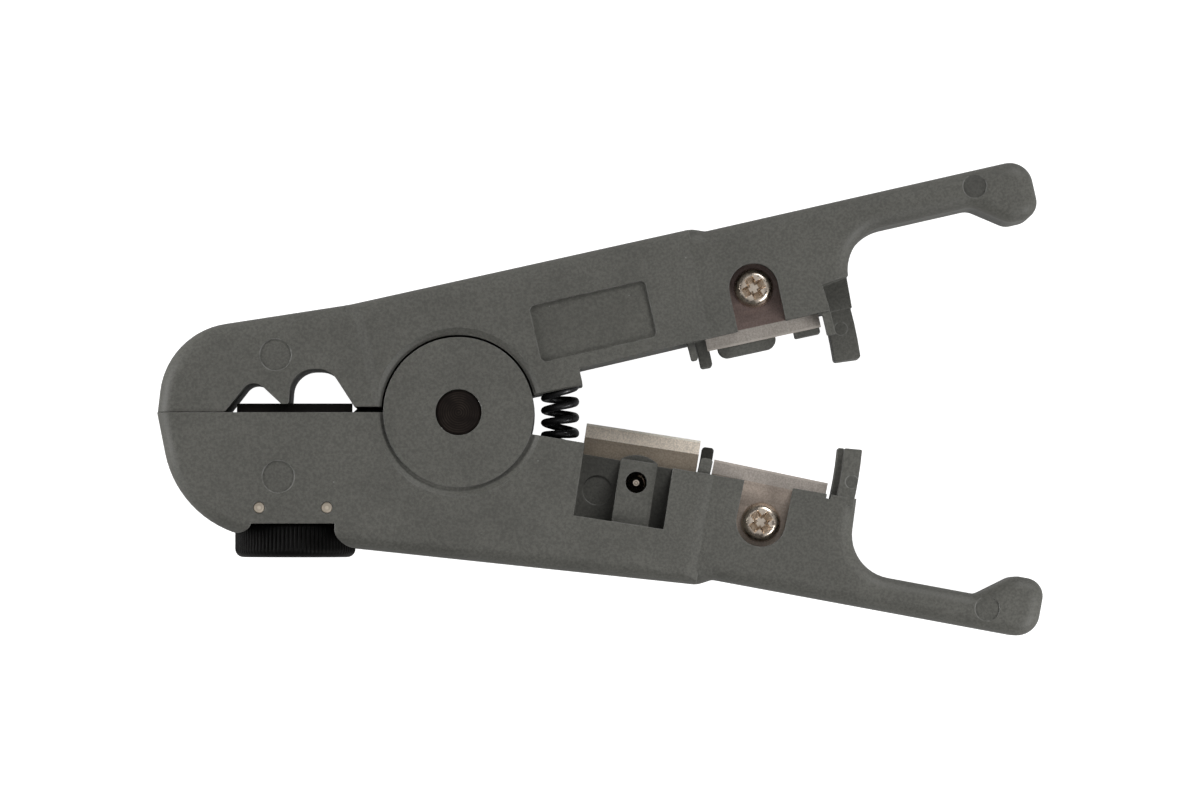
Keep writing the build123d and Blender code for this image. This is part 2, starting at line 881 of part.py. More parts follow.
with BuildPart() as nose_blade_screw:
    add(pan_screw(hole_plane(nose, blade_thickness), nose_screw_length))
nose_blade_screw.part.label = "nose_blade_screw"
export_step(nose_blade_screw.part, "parts/nose_blade_screw.step")

# Blade holder, threaded on the wheel's stud
with BuildPart() as blade_holder:
    with BuildSketch(Plane.XY.offset(holder_back)):
        with Locations((wheel_x, (holder_top + holder_bottom) / 2)):
            Rectangle(holder_width, holder_top - holder_bottom)
    extrude(amount=nose_blade_level - holder_back)
    with BuildSketch(wheel_plane.offset(holder_bottom)):
        Circle(stud_radius + stud_clearance)
    extrude(amount=stud_bore_top - holder_bottom, mode=Mode.SUBTRACT)
    add(screw_hole(nose, nose_screw_length), mode=Mode.SUBTRACT)
blade_holder.part.label = "blade_holder"
export_step(blade_holder.part, "parts/blade_holder.step")

# Thumb wheel: ribbed rim, grooved neck and a bore for the stud
groove_radius = pin_spread - pin_radius - groove_clearance
groove_half = pin_radius + groove_clearance
rib_width = 2 * 3.1416 * wheel_radius / wheel_rib_count * 0.7
with BuildPart() as thumb_wheel:
    with BuildSketch(Plane(origin=(wheel_x, 0, mid_plane), z_dir=(0, 0, 1))):
        add(
            rounded(
                [
                    (0, wheel_bottom + wheel_dish_depth, 0),
                    (wheel_dish_radius, wheel_bottom + wheel_dish_depth, 0),
                    (wheel_dish_radius + wheel_dish_depth, wheel_bottom, 0),
                    (wheel_radius - wheel_bevel, wheel_bottom, 0),
                    (wheel_radius - wheel_bevel / 4, wheel_bottom + wheel_bevel / 3, 0),
                    (wheel_radius, wheel_bottom + wheel_bevel, 0),
                    (wheel_radius, wheel_top, 0),
                    (neck_radius, wheel_top, 0),
                    (neck_radius, pin_y - groove_half, 0),
                    (groove_radius, pin_y - groove_half, 0),
                    (groove_radius, pin_y + groove_half, 0),
                    (neck_radius, pin_y + groove_half, 0),
                    (neck_radius, neck_top, 0.25),
                    (stud_radius + fastener_clearance, neck_top, 0),
                    (stud_radius + fastener_clearance, stud_root, 0),
                    (0, stud_root, 0),
                ]
            )
        )
    revolve(axis=wheel_axis)
    with BuildSketch(wheel_plane.offset(wheel_bottom)):
        with PolarLocations(wheel_radius, wheel_rib_count):
            Polygon(
                (-wheel_rib_depth, 0),
                (0.1, rib_width / 2),
                (0.1, -rib_width / 2),
                align=None,
            )
    extrude(amount=wheel_top - wheel_bottom, mode=Mode.SUBTRACT)
thumb_wheel.part.label = "thumb_wheel"
export_step(thumb_wheel.part, "parts/thumb_wheel.step")

with BuildPart() as wheel_stud:
    with BuildSketch(wheel_plane.offset(stud_root)):
        Circle(stud_radius)
    extrude(amount=stud_tip - stud_root)
    chamfer(wheel_stud.faces().sort_by(Axis.Y)[-1].edges(), 0.4)
wheel_stud.part.label = "wheel_stud"
export_step(wheel_stud.part, "parts/wheel_stud.step")

# Cross pins that hold the wheel by its groove
with BuildPart() as wheel_pin_left:
    add(
        raised(
            disc_at(*pin_places[0], pin_radius),
            mid_plane - pin_length / 2,
            mid_plane + pin_length / 2,
        )
    )
wheel_pin_left.part.label = "wheel_pin_left"
export_step(wheel_pin_left.part, "parts/wheel_pin_left.step")

with BuildPart() as wheel_pin_right:
    add(
        raised(
            disc_at(*pin_places[1], pin_radius),
            mid_plane - pin_length / 2,
            mid_plane + pin_length / 2,
        )
    )
wheel_pin_right.part.label = "wheel_pin_right"
export_step(wheel_pin_right.part, "parts/wheel_pin_right.step")
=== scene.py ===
import logging
import math
from collections.abc import Iterable, Sequence
from dataclasses import dataclass
from enum import Enum

import bmesh
import bpy
from mathutils import Matrix, Vector


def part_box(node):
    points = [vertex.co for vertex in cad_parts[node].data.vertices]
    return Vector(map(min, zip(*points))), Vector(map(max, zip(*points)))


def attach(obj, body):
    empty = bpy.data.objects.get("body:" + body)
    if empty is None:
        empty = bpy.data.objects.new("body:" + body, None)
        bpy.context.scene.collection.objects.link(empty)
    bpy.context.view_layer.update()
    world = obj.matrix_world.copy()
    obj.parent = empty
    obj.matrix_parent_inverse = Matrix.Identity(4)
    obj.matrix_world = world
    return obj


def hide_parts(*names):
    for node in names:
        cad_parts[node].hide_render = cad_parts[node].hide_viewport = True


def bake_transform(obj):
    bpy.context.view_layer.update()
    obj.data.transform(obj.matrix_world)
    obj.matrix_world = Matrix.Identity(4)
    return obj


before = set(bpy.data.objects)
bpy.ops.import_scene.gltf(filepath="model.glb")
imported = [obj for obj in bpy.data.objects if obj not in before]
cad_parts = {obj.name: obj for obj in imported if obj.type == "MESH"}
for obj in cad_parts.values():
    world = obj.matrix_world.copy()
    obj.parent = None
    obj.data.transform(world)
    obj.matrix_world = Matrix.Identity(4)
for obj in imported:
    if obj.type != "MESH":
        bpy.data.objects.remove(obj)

LOG = logging.getLogger("jacket_stripper")
Colour = tuple[float, float, float]
Point = tuple[float, float, float]
Outline = tuple[tuple[float, float], ...]
Socket = bpy.types.NodeSocket
Material = bpy.types.Material
Piece = bpy.types.Object
Mesh = bmesh.types.BMesh

# One millimetre in the frame's metres
MM = 0.001
# Level of the front face, and the distance within which points are merged, in millimetres
FRONT_LEVEL = 20.0
WELD = 1e-4


# Colours


def even(value: float) -> Colour:
    """Returns a grey of one value."""
    return (value, value, value)


def scaled(colour: Colour, factor: float) -> Colour:
    """Returns a colour made lighter or darker by a factor, white at most."""
    return tuple(min(1.0, part * factor) for part in colour)


# Node wiring shared by all finishes


class Wiring:
    """Places nodes in one shader tree and joins their sockets."""

    def __init__(self, tree: bpy.types.NodeTree) -> None:
        """Starts on one tree."""
        self.tree = tree

    def put(self, kind: str, **values: object) -> bpy.types.Node:
        """Adds a node.

        Args:
            kind: Blender's name of the node type.
            values: node settings, or input values and sources by socket name, with
                an underscore for a space.

        Returns:
            The new node.
        """
        node = self.tree.nodes.new(kind)
        for key, value in values.items():
            if hasattr(node, key):
                setattr(node, key, value)
        for key, value in values.items():
            if not hasattr(node, key):
                self.feed(node, key.replace("_", " "), value)
        return node

    def feed(self, node: bpy.types.Node, key: str | int, value: object) -> None:
        """Sets one input of a node, or joins a source to it.

        Args:
            node: the node that takes the value.
            key: the input's name or place.
            value: a plain value, or the socket that it comes from.
        """
        if isinstance(value, Socket):
            self.tree.links.new(value, node.inputs[key])
        else:
            node.inputs[key].default_value = value

    def reckon(self, kind: str, first: object, second: object = 0.0,
               third: object = 0.0) -> Socket:
        """Joins numbers by one arithmetic step.

        Args:
            kind: Blender's name of the step.
            first: the first number or its source.
            second: the second one, where the step has it.
            third: the third one, where the step has it.

        Returns:
            The socket of the result.
        """
        node = self.put("ShaderNodeMath", operation=kind)
        for place, value in enumerate((first, second, third)):
            self.feed(node, place, value)
        return node.outputs[0]

    def times(self, first: object, second: object) -> Socket:
        """Multiplies two numbers and returns the product's socket."""
        return self.reckon("MULTIPLY", first, second)

    def vector(self, kind: str, first: object, second: object = None) -> bpy.types.Node:
        """Joins vectors by one arithmetic step.

        Args:
            kind: Blender's name of the step.
            first: the first vector or its source.
            second: the second one, where the step has it.

        Returns:
            The step's node.
        """
        node = self.put("ShaderNodeVectorMath", operation=kind)
        self.feed(node, 0, first)
        if second is not None:
            self.feed(node, 1, second)
        return node

    def ramp(self, source: Socket, low: float, high: float,
             start: float = 0.0, end: float = 1.0) -> Socket:
        """Maps a value to another range with a soft step.

        Args:
            source: the value.
            low: the value that gives start.
            high: the value that gives end.
            start: the result at low.
            end: the result at high.

        Returns:
            The socket of the mapped value.
        """
        node = self.put("ShaderNodeMapRange", interpolation_type="SMOOTHSTEP")
        for key, value in (("Value", source), ("From Min", low), ("From Max", high),
                           ("To Min", start), ("To Max", end)):
            self.feed(node, key, value)
        return node.outputs["Result"]

    def blend(self, share: object, first: object, second: object, kind: str = "MIX") -> Socket:
        """Mixes two colours.

        Args:
            share: how much of the second colour is taken.
            first: the first colour or its source.
            second: the second colour or its source.
            kind: Blender's name of the way they are mixed.

        Returns:
            The socket of the mixed colour.
        """
        node = self.put("ShaderNodeMix", data_type="RGBA", blend_type=kind)
        for place, value in ((0, share), (6, first), (7, second)):
            if isinstance(value, tuple) and len(value) == 3:
                value = (*value, 1.0)
            self.feed(node, place, value)
        return node.outputs[2]


class Relief(Enum):
    """Shared surface effects, each one a node group."""

    MOULD_GRAIN = "mould_grain"
    GRIND_LINES = "grind_lines"
    SPECKS = "specks"
    TURNED_RINGS = "turned_rings"
    EDGE_WEAR = "edge_wear_and_highlight"
    RING_MARK = "ring_mark"
    PANEL = "panel"


class ReliefGroups:
    """Builds the shared node groups once and hands them out."""

    # How far below the front face a mark still shows, and the blur of its disc, in metres
    front_depth: float = 0.002
    disc_blur: float = 0.00012
    # The grind lines' width as a share of their length
    line_width: float = 0.04

    def __init__(self) -> None:
        """Builds all groups."""
        self.made: dict[Relief, bpy.types.ShaderNodeTree] = {}
        self._mould_grain()
        self._grind_lines()
        self._specks()
        self._turned_rings()
        self._edge_wear_and_highlight()
        self._ring_mark()
        self._panel()

    def _start(self, relief: Relief, numbers: Sequence[str],
               results: Sequence[str]) -> tuple[Wiring, dict[str, Socket], bpy.types.Node]:
        """Makes an empty group, whose first input is the pattern's point.

        Args:
            relief: the effect that the group holds.
            numbers: names of the number inputs that follow the point.
            results: names of the outputs, all of them numbers but Normal.

        Returns:
            The wiring of the group, its input sockets by name and its output node.
        """
        tree = bpy.data.node_groups.new(relief.value, "ShaderNodeTree")
        for direction, names in (("INPUT", ("Point", *numbers)), ("OUTPUT", results)):
            for name in names:
                kind = "Vector" if name in ("Point", "Normal") else "Float"
                tree.interface.new_socket(name=name, in_out=direction,
                                          socket_type=f"NodeSocket{kind}")
        wiring = Wiring(tree)
        entry = wiring.put("NodeGroupInput")
        self.made[relief] = tree
        given = {socket.name: socket for socket in entry.outputs if socket.name}
        return wiring, given, wiring.put("NodeGroupOutput")

    def _mould_grain(self) -> None:
        """Fine spark eroded grain of a moulded face, with a soft cloudiness of its tone."""
        wiring, given, out = self._start(
            Relief.MOULD_GRAIN, ("Grain", "Cloud"), ("Height", "Tone", "Fleck"))
        coarse = wiring.put("ShaderNodeTexNoise", Vector=given["Point"], Scale=given["Grain"],
                            Detail=4.0, Roughness=0.62)
        pits = wiring.put("ShaderNodeTexVoronoi", Vector=given["Point"], Randomness=1.0,
                          Scale=wiring.times(given["Grain"], 0.8))
        cloud = wiring.put("ShaderNodeTexNoise", Vector=given["Point"], Scale=given["Cloud"],
                           Detail=3.0, Roughness=0.5)
        pit = wiring.ramp(pits.outputs["Distance"], 0.0, 0.45)
        height = wiring.reckon("MULTIPLY_ADD", pit, 0.45, coarse.outputs[0])
        wiring.feed(out, "Height", height)
        wiring.feed(out, "Tone", wiring.ramp(cloud.outputs[0], 0.3, 0.7))
        wiring.feed(out, "Fleck", wiring.ramp(coarse.outputs[0], 0.35, 0.65))

    def _grind_lines(self) -> None:
        """Fine scratches along the local X axis, as a surface grinder leaves."""
        wiring, given, out = self._start(Relief.GRIND_LINES, ("Fineness",), ("Height", "Tone"))
        drawn = wiring.vector("MULTIPLY", given["Point"], (self.line_width, 1.0, 1.0))
        fine = wiring.put("ShaderNodeTexNoise", Vector=drawn.outputs[0], Scale=given["Fineness"],
                          Detail=5.0, Roughness=0.7)
        broad = wiring.put("ShaderNodeTexNoise", Vector=drawn.outputs[0], Detail=2.0,
                           Scale=wiring.times(given["Fineness"], 0.22))
        height = wiring.reckon("MULTIPLY_ADD", broad.outputs[0], 0.6, fine.outputs[0])
        wiring.feed(out, "Height", height)
        wiring.feed(out, "Tone", wiring.ramp(broad.outputs[0], 0.35, 0.65))

    def _specks(self) -> None:
        """Small scattered specks, for dust on plastic and stains on steel."""
        wiring, given, out = self._start(Relief.SPECKS, ("Spacing", "Share"), ("Mask",))
        cells = wiring.put("ShaderNodeTexVoronoi", Vector=given["Point"], Scale=given["Spacing"])
        pick = wiring.put("ShaderNodeSeparateColor", Color=cells.outputs["Color"])
        kept = wiring.reckon("LESS_THAN", pick.outputs[0], given["Share"])
        spot = wiring.ramp(cells.outputs["Distance"], 0.09, 0.02)
        wiring.feed(out, "Mask", wiring.times(kept, spot))

    def _turned_rings(self) -> None:
        """Concentric tool marks round the local Z axis, as a lathe leaves on an end face."""
        wiring, given, out = self._start(Relief.TURNED_RINGS, ("Rings",), ("Height",))
        flat = wiring.vector("MULTIPLY", given["Point"], (1.0, 1.0, 0.0))
        radius = wiring.vector("LENGTH", flat.outputs[0]).outputs["Value"]
        wave = wiring.reckon("SINE", wiring.times(radius, given["Rings"]))
        wiring.feed(out, "Height", wiring.reckon("MULTIPLY_ADD", wave, 0.5, 0.5))

    def _edge_wear_and_highlight(self) -> None:
        """Small rounding of sharp edges, and a broken mask along it where they are rubbed pale and
        painted highlight lies.
        """
        wiring, given, out = self._start(
            Relief.EDGE_WEAR, ("Radius", "Break"), ("Mask", "Normal"))
        rounded = wiring.put("ShaderNodeBevel", samples=6, Radius=given["Radius"])
        geometry = wiring.put("ShaderNodeNewGeometry")
        same = wiring.vector("DOT_PRODUCT", rounded.outputs[0], geometry.outputs["Normal"])
        patches = wiring.put("ShaderNodeTexNoise", Vector=given["Point"], Scale=given["Break"],
                             Detail=3.0, Roughness=0.6)
        edge = wiring.ramp(same.outputs["Value"], 0.995, 0.90)
        rubbed = wiring.ramp(patches.outputs[0], 0.36, 0.62)
        wiring.feed(out, "Mask", wiring.times(edge, rubbed))
        wiring.feed(out, "Normal", rounded.outputs[0])

    def _ring_mark(self) -> None:
        """Thin broken ring that an ejector pin leaves on the front face, and its disc for painted
        shade.
        """
        wiring, given, out = self._start(
            Relief.RING_MARK, ("Radius", "Width"), ("Mask", "Disc"))
        parts = wiring.put("ShaderNodeSeparateXYZ", Vector=given["Point"])
        flat = wiring.put("ShaderNodeCombineXYZ", X=parts.outputs["X"], Y=parts.outputs["Y"])
        radius = wiring.vector("LENGTH", flat.outputs[0]).outputs["Value"]
        past = wiring.reckon("SUBTRACT", radius, given["Radius"])
        off = wiring.reckon("DIVIDE", wiring.reckon("ABSOLUTE", past), given["Width"])
        gaps = wiring.put("ShaderNodeTexNoise", Vector=given["Point"], Scale=700.0, Detail=2.0)
        kept = wiring.ramp(gaps.outputs[0], 0.38, 0.56)
        front = wiring.reckon("GREATER_THAN", parts.outputs["Z"], -self.front_depth)
        ring = wiring.times(wiring.ramp(off, 1.0, 0.35), kept)
        wiring.feed(out, "Mask", wiring.times(ring, front))
        disc = wiring.ramp(past, 0.0, -self.disc_blur)
        wiring.feed(out, "Disc", wiring.times(disc, front))

    def _panel(self) -> None:
        """Mask of the smoother recessed rectangle on the front face, which takes painted shade."""
        wiring, given, out = self._start(Relief.PANEL, ("Width", "Height"), ("Mask",))
        parts = wiring.put("ShaderNodeSeparateXYZ", Vector=given["Point"])
        inside = wiring.reckon("GREATER_THAN", parts.outputs["Z"], -self.front_depth)
        for axis, side in (("X", "Width"), ("Y", "Height")):
            off = wiring.reckon("ABSOLUTE", parts.outputs[axis])
            within = wiring.reckon("LESS_THAN", off, wiring.times(given[side], 0.5))
            inside = wiring.times(inside, within)
        wiring.feed(out, "Mask", inside)


class Surface:
    """One material in the making: a Principled shader with its own wiring."""

    def __init__(self, name: str, groups: ReliefGroups) -> None:
        """Starts a material with a plain Principled shader.

        Args:
            name: the material's name.
            groups: the shared effects.
        """
        self.material = bpy.data.materials.new(name)
        self.material.use_nodes = True
        tree = self.material.node_tree
        tree.nodes.clear()
        self.wiring = Wiring(tree)
        self.groups = groups
        self.shader = self.wiring.put("ShaderNodeBsdfPrincipled")
        output = self.wiring.put("ShaderNodeOutputMaterial")
        self.wiring.feed(output, "Surface", self.shader.outputs[0])
        self.coordinates = self.wiring.put("ShaderNodeTexCoord")

    def point(self, centre: Point = (0.0, 0.0, 0.0), turn: float = 0.0) -> Socket:
        """Centres and turns the object's coordinates for one pattern.

        Args:
            centre: the pattern's centre in the frame, in millimetres.
            turn: the pattern's turn about Z, in degrees.

        Returns:
            The socket of the coordinates.
        """
        node = self.wiring.put("ShaderNodeMapping", vector_type="TEXTURE")
        self.wiring.feed(node, "Vector", self.coordinates.outputs["Object"])
        self.wiring.feed(node, "Location", tuple(part * MM for part in centre))
        self.wiring.feed(node, "Rotation", (0.0, 0.0, math.radians(turn)))
        return node.outputs[0]

    def relief(self, kind: Relief, **values: object) -> bpy.types.Node:
        """Places one shared effect with this material's own values.

        Args:
            kind: the effect.
            values: values or sources by the names of the effect's inputs.

        Returns:
            The effect's node.
        """
        node = self.wiring.put("ShaderNodeGroup", node_tree=self.groups.made[kind])
        for key, value in values.items():
            self.wiring.feed(node, key, value)
        return node

    def bump(self, height: Socket, depth_mm: float, strength: float = 1.0,
             below: Socket | None = None) -> Socket:
        """Raises the surface by a height pattern of a real depth.

        Args:
            height: the pattern.
            depth_mm: its depth, in millimetres.
            strength: how much of it shows.
            below: the normal of a relief that it lies on, if any.

        Returns:
            The socket of the new normal.
        """
        node = self.wiring.put("ShaderNodeBump", Strength=strength, Distance=depth_mm * MM,
                               Height=height)
        if below is not None:
            self.wiring.feed(node, "Normal", below)
        return node.outputs[0]

    def polish(self, pattern: Socket, middle_value: float, less: float, more: float) -> Socket:
        """Lets the roughness vary with a pattern round a middle value and returns its socket."""
        return self.wiring.ramp(pattern, 0.0, 1.0, middle_value - less, middle_value + more)

    def set(self, **values: object) -> None:
        """Sets inputs of the Principled shader, with an underscore for a space."""
        for key, value in values.items():
            self.wiring.feed(self.shader, key.replace("_", " "), value)


# Finishes


@dataclass(frozen=True)
class PinMark:
    """Round mark of an ejector pin, in millimetres, and the painted shade of its sunken disc, from
    0 to 1.
    """

    x: float
    y: float
    level: float
    radius: float
    disc_shade: float


@dataclass(frozen=True)
class PanelPlace:
    """Centre, size and turn of the smoother recess that takes painted shade, in millimetres and
    degrees.
    """

    x: float
    y: float
    angle: float
    width: float
    height: float


@dataclass(frozen=True)
class MouldedPlastic:
    """Matte injection moulded plastic with a spark eroded grain."""

    name: str
    tone: Colour
    roughness: float = 0.56
    grain_mm: float = 0.36
    grain_depth_mm: float = 0.03
    cloud_mm: float = 9.0
    cloudiness: float = 0.07
    fleck: float = 0.17
    # Pale colour of dust specks, and of rubbed edges with their painted highlight
    dust_and_highlight: Colour = (0.17, 0.17, 0.16)
    dust_share: float = 0.03
    edge_mm: float = 0.22
    # Share of that pale colour along edges: rubbed plastic and painted highlight
    wear_and_highlight: float = 0.5
    specular: float = 0.36
    marks: tuple[PinMark, ...] = ()
    mark_line_mm: float = 0.12
    mark_wear: float = 0.6
    # Near-black colour of the painted shade in the sunken pin discs
    pit: Colour = (0.010, 0.010, 0.009)
    panel: PanelPlace | None = None
    # Painted shade of the recessed panel
    panel_shade: Colour = (0.92, 0.92, 0.91)

    def _bare(self, surface: Surface, point: Socket, grain: bpy.types.Node) -> Socket:
        """Clouds and flecks the plastic's tone and lays a little dust on it.

        Args:
            surface: the material in the making.
            point: its coordinates.
            grain: its grain.

        Returns:
            The socket of the colour.
        """
        wiring = surface.wiring
        colour = wiring.blend(grain.outputs["Tone"], scaled(self.tone, 1.0 - self.cloudiness),
                              scaled(self.tone, 1.0 + self.cloudiness))
        shade = wiring.blend(grain.outputs["Fleck"], even(1.0 - self.fleck),
                             even(1.0 + self.fleck))
        colour = wiring.blend(1.0, colour, shade, "MULTIPLY")
        specks = surface.relief(Relief.SPECKS, Point=point, Spacing=620.0, Share=self.dust_share)
        return wiring.blend(specks.outputs["Mask"], colour, self.dust_and_highlight)

    def _marked(self, surface: Surface, colour: Socket) -> Socket:
        """Darkens the smoother panel and the sunken pin discs with painted shade, and adds the
        pins' rings.

        Args:
            surface: the material in the making.
            colour: the colour so far.

        Returns:
            The socket of the colour.
        """
        wiring = surface.wiring
        if self.panel:
            place = self.panel
            panel_mask = surface.relief(
                Relief.PANEL, Point=surface.point((place.x, place.y, FRONT_LEVEL), place.angle),
                Width=place.width * MM, Height=place.height * MM)
            # Painted shade in the recessed panel
            shaded = wiring.blend(1.0, colour, self.panel_shade, "MULTIPLY")
            colour = wiring.blend(panel_mask.outputs["Mask"], colour, shaded)
        for mark in self.marks:
            ring = surface.relief(
                Relief.RING_MARK, Point=surface.point((mark.x, mark.y, mark.level)),
                Radius=mark.radius * MM, Width=self.mark_line_mm * MM)
            # Painted shade in the sunken disc of the pin mark
            disc = wiring.times(ring.outputs["Disc"], mark.disc_shade)
            colour = wiring.blend(disc, colour, self.pit)
            line = wiring.times(ring.outputs["Mask"], self.mark_wear)
            colour = wiring.blend(line, colour, self.dust_and_highlight)
        return colour

    def build(self, groups: ReliefGroups) -> Material:
        """Makes the plastic's material.

        Args:
            groups: the shared effects.

        Returns:
            The material.
        """
        surface = Surface(self.name, groups)
        wiring = surface.wiring
        point = surface.point()
        grain = surface.relief(Relief.MOULD_GRAIN, Point=point, Grain=1.0 / (self.grain_mm * MM),
                               Cloud=1.0 / (self.cloud_mm * MM))
        edge = surface.relief(Relief.EDGE_WEAR, Point=point, Radius=self.edge_mm * MM, Break=420.0)
        # Pale edges: rubbed plastic and painted highlight
        pale_share = wiring.times(edge.outputs["Mask"], self.wear_and_highlight)
        colour = wiring.blend(pale_share, self._bare(surface, point, grain), self.dust_and_highlight)
        surface.set(Base_Color=self._marked(surface, colour),
                    Roughness=surface.polish(grain.outputs["Fleck"], self.roughness, 0.05, 0.06),
                    Specular_IOR_Level=self.specular,
                    Normal=surface.bump(grain.outputs["Height"], self.grain_depth_mm,
                                        below=edge.outputs["Normal"]))
        return surface.material


@dataclass(frozen=True)
class GroundSteel:
    """Blade steel ground flat, with a paler bevel and a bright hone along its edge.

    The edge is a point on the cutting edge, the angle its direction in degrees, and outward is
    1 where the edge looks up the picture and -1 where it looks down.
    """

    name: str
    edge: Point
    angle: float
    outward: float
    tone: Colour
    bevel_tone: Colour
    bevel_mm: float = 2.0
    hone_mm: float = 0.30
    blur_mm: float = 0.04
    line_shades: tuple[float, float] = (0.86, 1.12)
    bevel_shades: tuple[float, float] = (0.96, 1.04)
    hone_shade: float = 1.5
    hone_share: float = 0.5
    stain: Colour = (0.12, 0.09, 0.07)
    stain_share: float = 0.55
    fleck: float = 0.14
    relief_mm: float = 0.004
    roughness: float = 0.55
    metallic: float = 0.55

    def _strip(self, wiring: Wiring, inwards: Socket, width_mm: float) -> Socket:
        """Masks the strip of one width along the edge and returns the mask's socket."""
        return wiring.ramp(inwards, (width_mm + self.blur_mm) * MM, (width_mm - self.blur_mm) * MM)

    def _shades(self, wiring: Wiring, lines: bpy.types.Node, tone: Colour,
                shades: tuple[float, float]) -> Socket:
        """Shades a tone between two factors along grind lines and returns its socket."""
        return wiring.blend(lines.outputs["Tone"], *(scaled(tone, shade) for shade in shades))

    def build(self, groups: ReliefGroups) -> Material:
        """Makes the blade's material, its bevel found by the distance from the edge.

        Args:
            groups: the shared effects.

        Returns:
            The material.
        """
        surface = Surface(self.name, groups)
        wiring = surface.wiring
        point = surface.point(self.edge, self.angle)
        parts = wiring.put("ShaderNodeSeparateXYZ", Vector=point)
        inwards = wiring.times(parts.outputs["Y"], -self.outward)
        lines = surface.relief(Relief.GRIND_LINES, Point=point, Fineness=5200.0)
        across = surface.relief(Relief.GRIND_LINES, Fineness=9000.0,
                                Point=surface.point(self.edge, self.angle + 90.0))
        spots = surface.relief(Relief.SPECKS, Point=point, Spacing=900.0, Share=0.10)
        matt = surface.relief(Relief.MOULD_GRAIN, Point=point, Grain=4200.0, Cloud=900.0)
        body = self._shades(wiring, lines, self.tone, self.line_shades)
        body = wiring.blend(wiring.times(spots.outputs["Mask"], self.stain_share), body, self.stain)
        bevel = self._shades(wiring, across, self.bevel_tone, self.bevel_shades)
        colour = wiring.blend(self._strip(wiring, inwards, self.bevel_mm), body, bevel)
        fleck = wiring.blend(matt.outputs["Fleck"], even(1.0 - self.fleck), even(1.0 + self.fleck))
        colour = wiring.blend(1.0, colour, fleck, "MULTIPLY")
        hone = wiring.times(self._strip(wiring, inwards, self.hone_mm), self.hone_share)
        colour = wiring.blend(hone, colour, scaled(self.bevel_tone, self.hone_shade))
        normal = surface.bump(lines.outputs["Height"], self.relief_mm)
        surface.set(Base_Color=colour, Metallic=self.metallic,
                    Roughness=surface.polish(lines.outputs["Tone"], self.roughness, 0.06, 0.08),
                    Normal=surface.bump(matt.outputs["Height"], self.relief_mm, 0.6, normal))
        return surface.material


@dataclass(frozen=True)
class PlatedSteel:
    """Bright nickel plating, a little uneven, with darker stains."""

    name: str
    tone: Colour = (0.74, 0.65, 0.555)
    shade: Colour = (0.38, 0.30, 0.235)
    evenness: float = 0.55
    stain_share: float = 0.5
    roughness: float = 0.26
    relief_mm: float = 0.008

    def build(self, groups: ReliefGroups) -> Material:
        """Makes the plating's material.

        Args:
            groups: the shared effects.

        Returns:
            The material.
        """
        surface = Surface(self.name, groups)
        wiring = surface.wiring
        point = surface.point()
        grain = surface.relief(Relief.MOULD_GRAIN, Point=point, Grain=1400.0, Cloud=700.0)
        spots = surface.relief(Relief.SPECKS, Point=point, Spacing=1500.0, Share=0.05)
        stain = wiring.times(spots.outputs["Mask"], self.stain_share)
        colour = wiring.blend(grain.outputs["Tone"], self.shade, self.tone)
        colour = wiring.blend(self.evenness, colour, self.tone)
        surface.set(Base_Color=wiring.blend(stain, colour, self.shade), Metallic=1.0,
                    Roughness=surface.polish(grain.outputs["Fleck"], self.roughness, 0.07, 0.12),
                    Normal=surface.bump(grain.outputs["Height"], self.relief_mm, 0.5))
        return surface.material


@dataclass(frozen=True)
class TurnedSteel:
    """Steel turned on a lathe, with rings on its end face and a dark or bright skin."""

    name: str
    centre: Point
    tone: Colour
    ring_tone: Colour
    ring_mm: float = 0.34
    roughness: float = 0.38
    metallic: float = 0.85
    ring_depth_mm: float = 0.006
    grain_depth_mm: float = 0.004

    def build(self, groups: ReliefGroups) -> Material:
        """Makes the turned steel's material.

        Args:
            groups: the shared effects.

        Returns:
            The material.
        """
        surface = Surface(self.name, groups)
        point = surface.point(self.centre)
        rings = surface.relief(Relief.TURNED_RINGS, Point=point,
                               Rings=2.0 * math.pi / (self.ring_mm * MM))
        grain = surface.relief(Relief.MOULD_GRAIN, Point=point, Grain=2600.0, Cloud=500.0)
        share = surface.wiring.times(rings.outputs["Height"], grain.outputs["Tone"])
        normal = surface.bump(rings.outputs["Height"], self.ring_depth_mm, 0.8)
        surface.set(Base_Color=surface.wiring.blend(share, self.tone, self.ring_tone),
                    Metallic=self.metallic,
                    Roughness=surface.polish(grain.outputs["Tone"], self.roughness, 0.05, 0.1),
                    Normal=surface.bump(grain.outputs["Height"], self.grain_depth_mm, 0.6, normal))
        return surface.material


@dataclass(frozen=True)
class BlackenedWire:
    """Oil blackened spring wire with fine drawing marks."""

    name: str
    tone: Colour = (0.012, 0.012, 0.013)
    sheen: float = 2.2
    worn_tone: Colour = (0.09, 0.08, 0.075)
    worn_share: float = 0.4
    roughness: float = 0.34
    metallic: float = 0.35
    relief_mm: float = 0.006

    def build(self, groups: ReliefGroups) -> Material:
        """Makes the wire's material.

        Args:
            groups: the shared effects.

        Returns:
            The material.
        """
        surface = Surface(self.name, groups)
        wiring = surface.wiring
        point = surface.point()
        grain = surface.relief(Relief.MOULD_GRAIN, Point=point, Grain=3000.0, Cloud=900.0)
        specks = surface.relief(Relief.SPECKS, Point=point, Spacing=2400.0, Share=0.08)
        pale_share = wiring.times(specks.outputs["Mask"], self.worn_share)
        colour = wiring.blend(grain.outputs["Tone"], self.tone, scaled(self.tone, self.sheen))
        surface.set(Base_Color=wiring.blend(pale_share, colour, self.worn_tone), Metallic=self.metallic,
                    Roughness=surface.polish(grain.outputs["Fleck"], self.roughness, 0.08, 0.12),
                    Normal=surface.bump(grain.outputs["Height"], self.relief_mm, 0.7))
        return surface.material


# Mesh work shared by the pieces


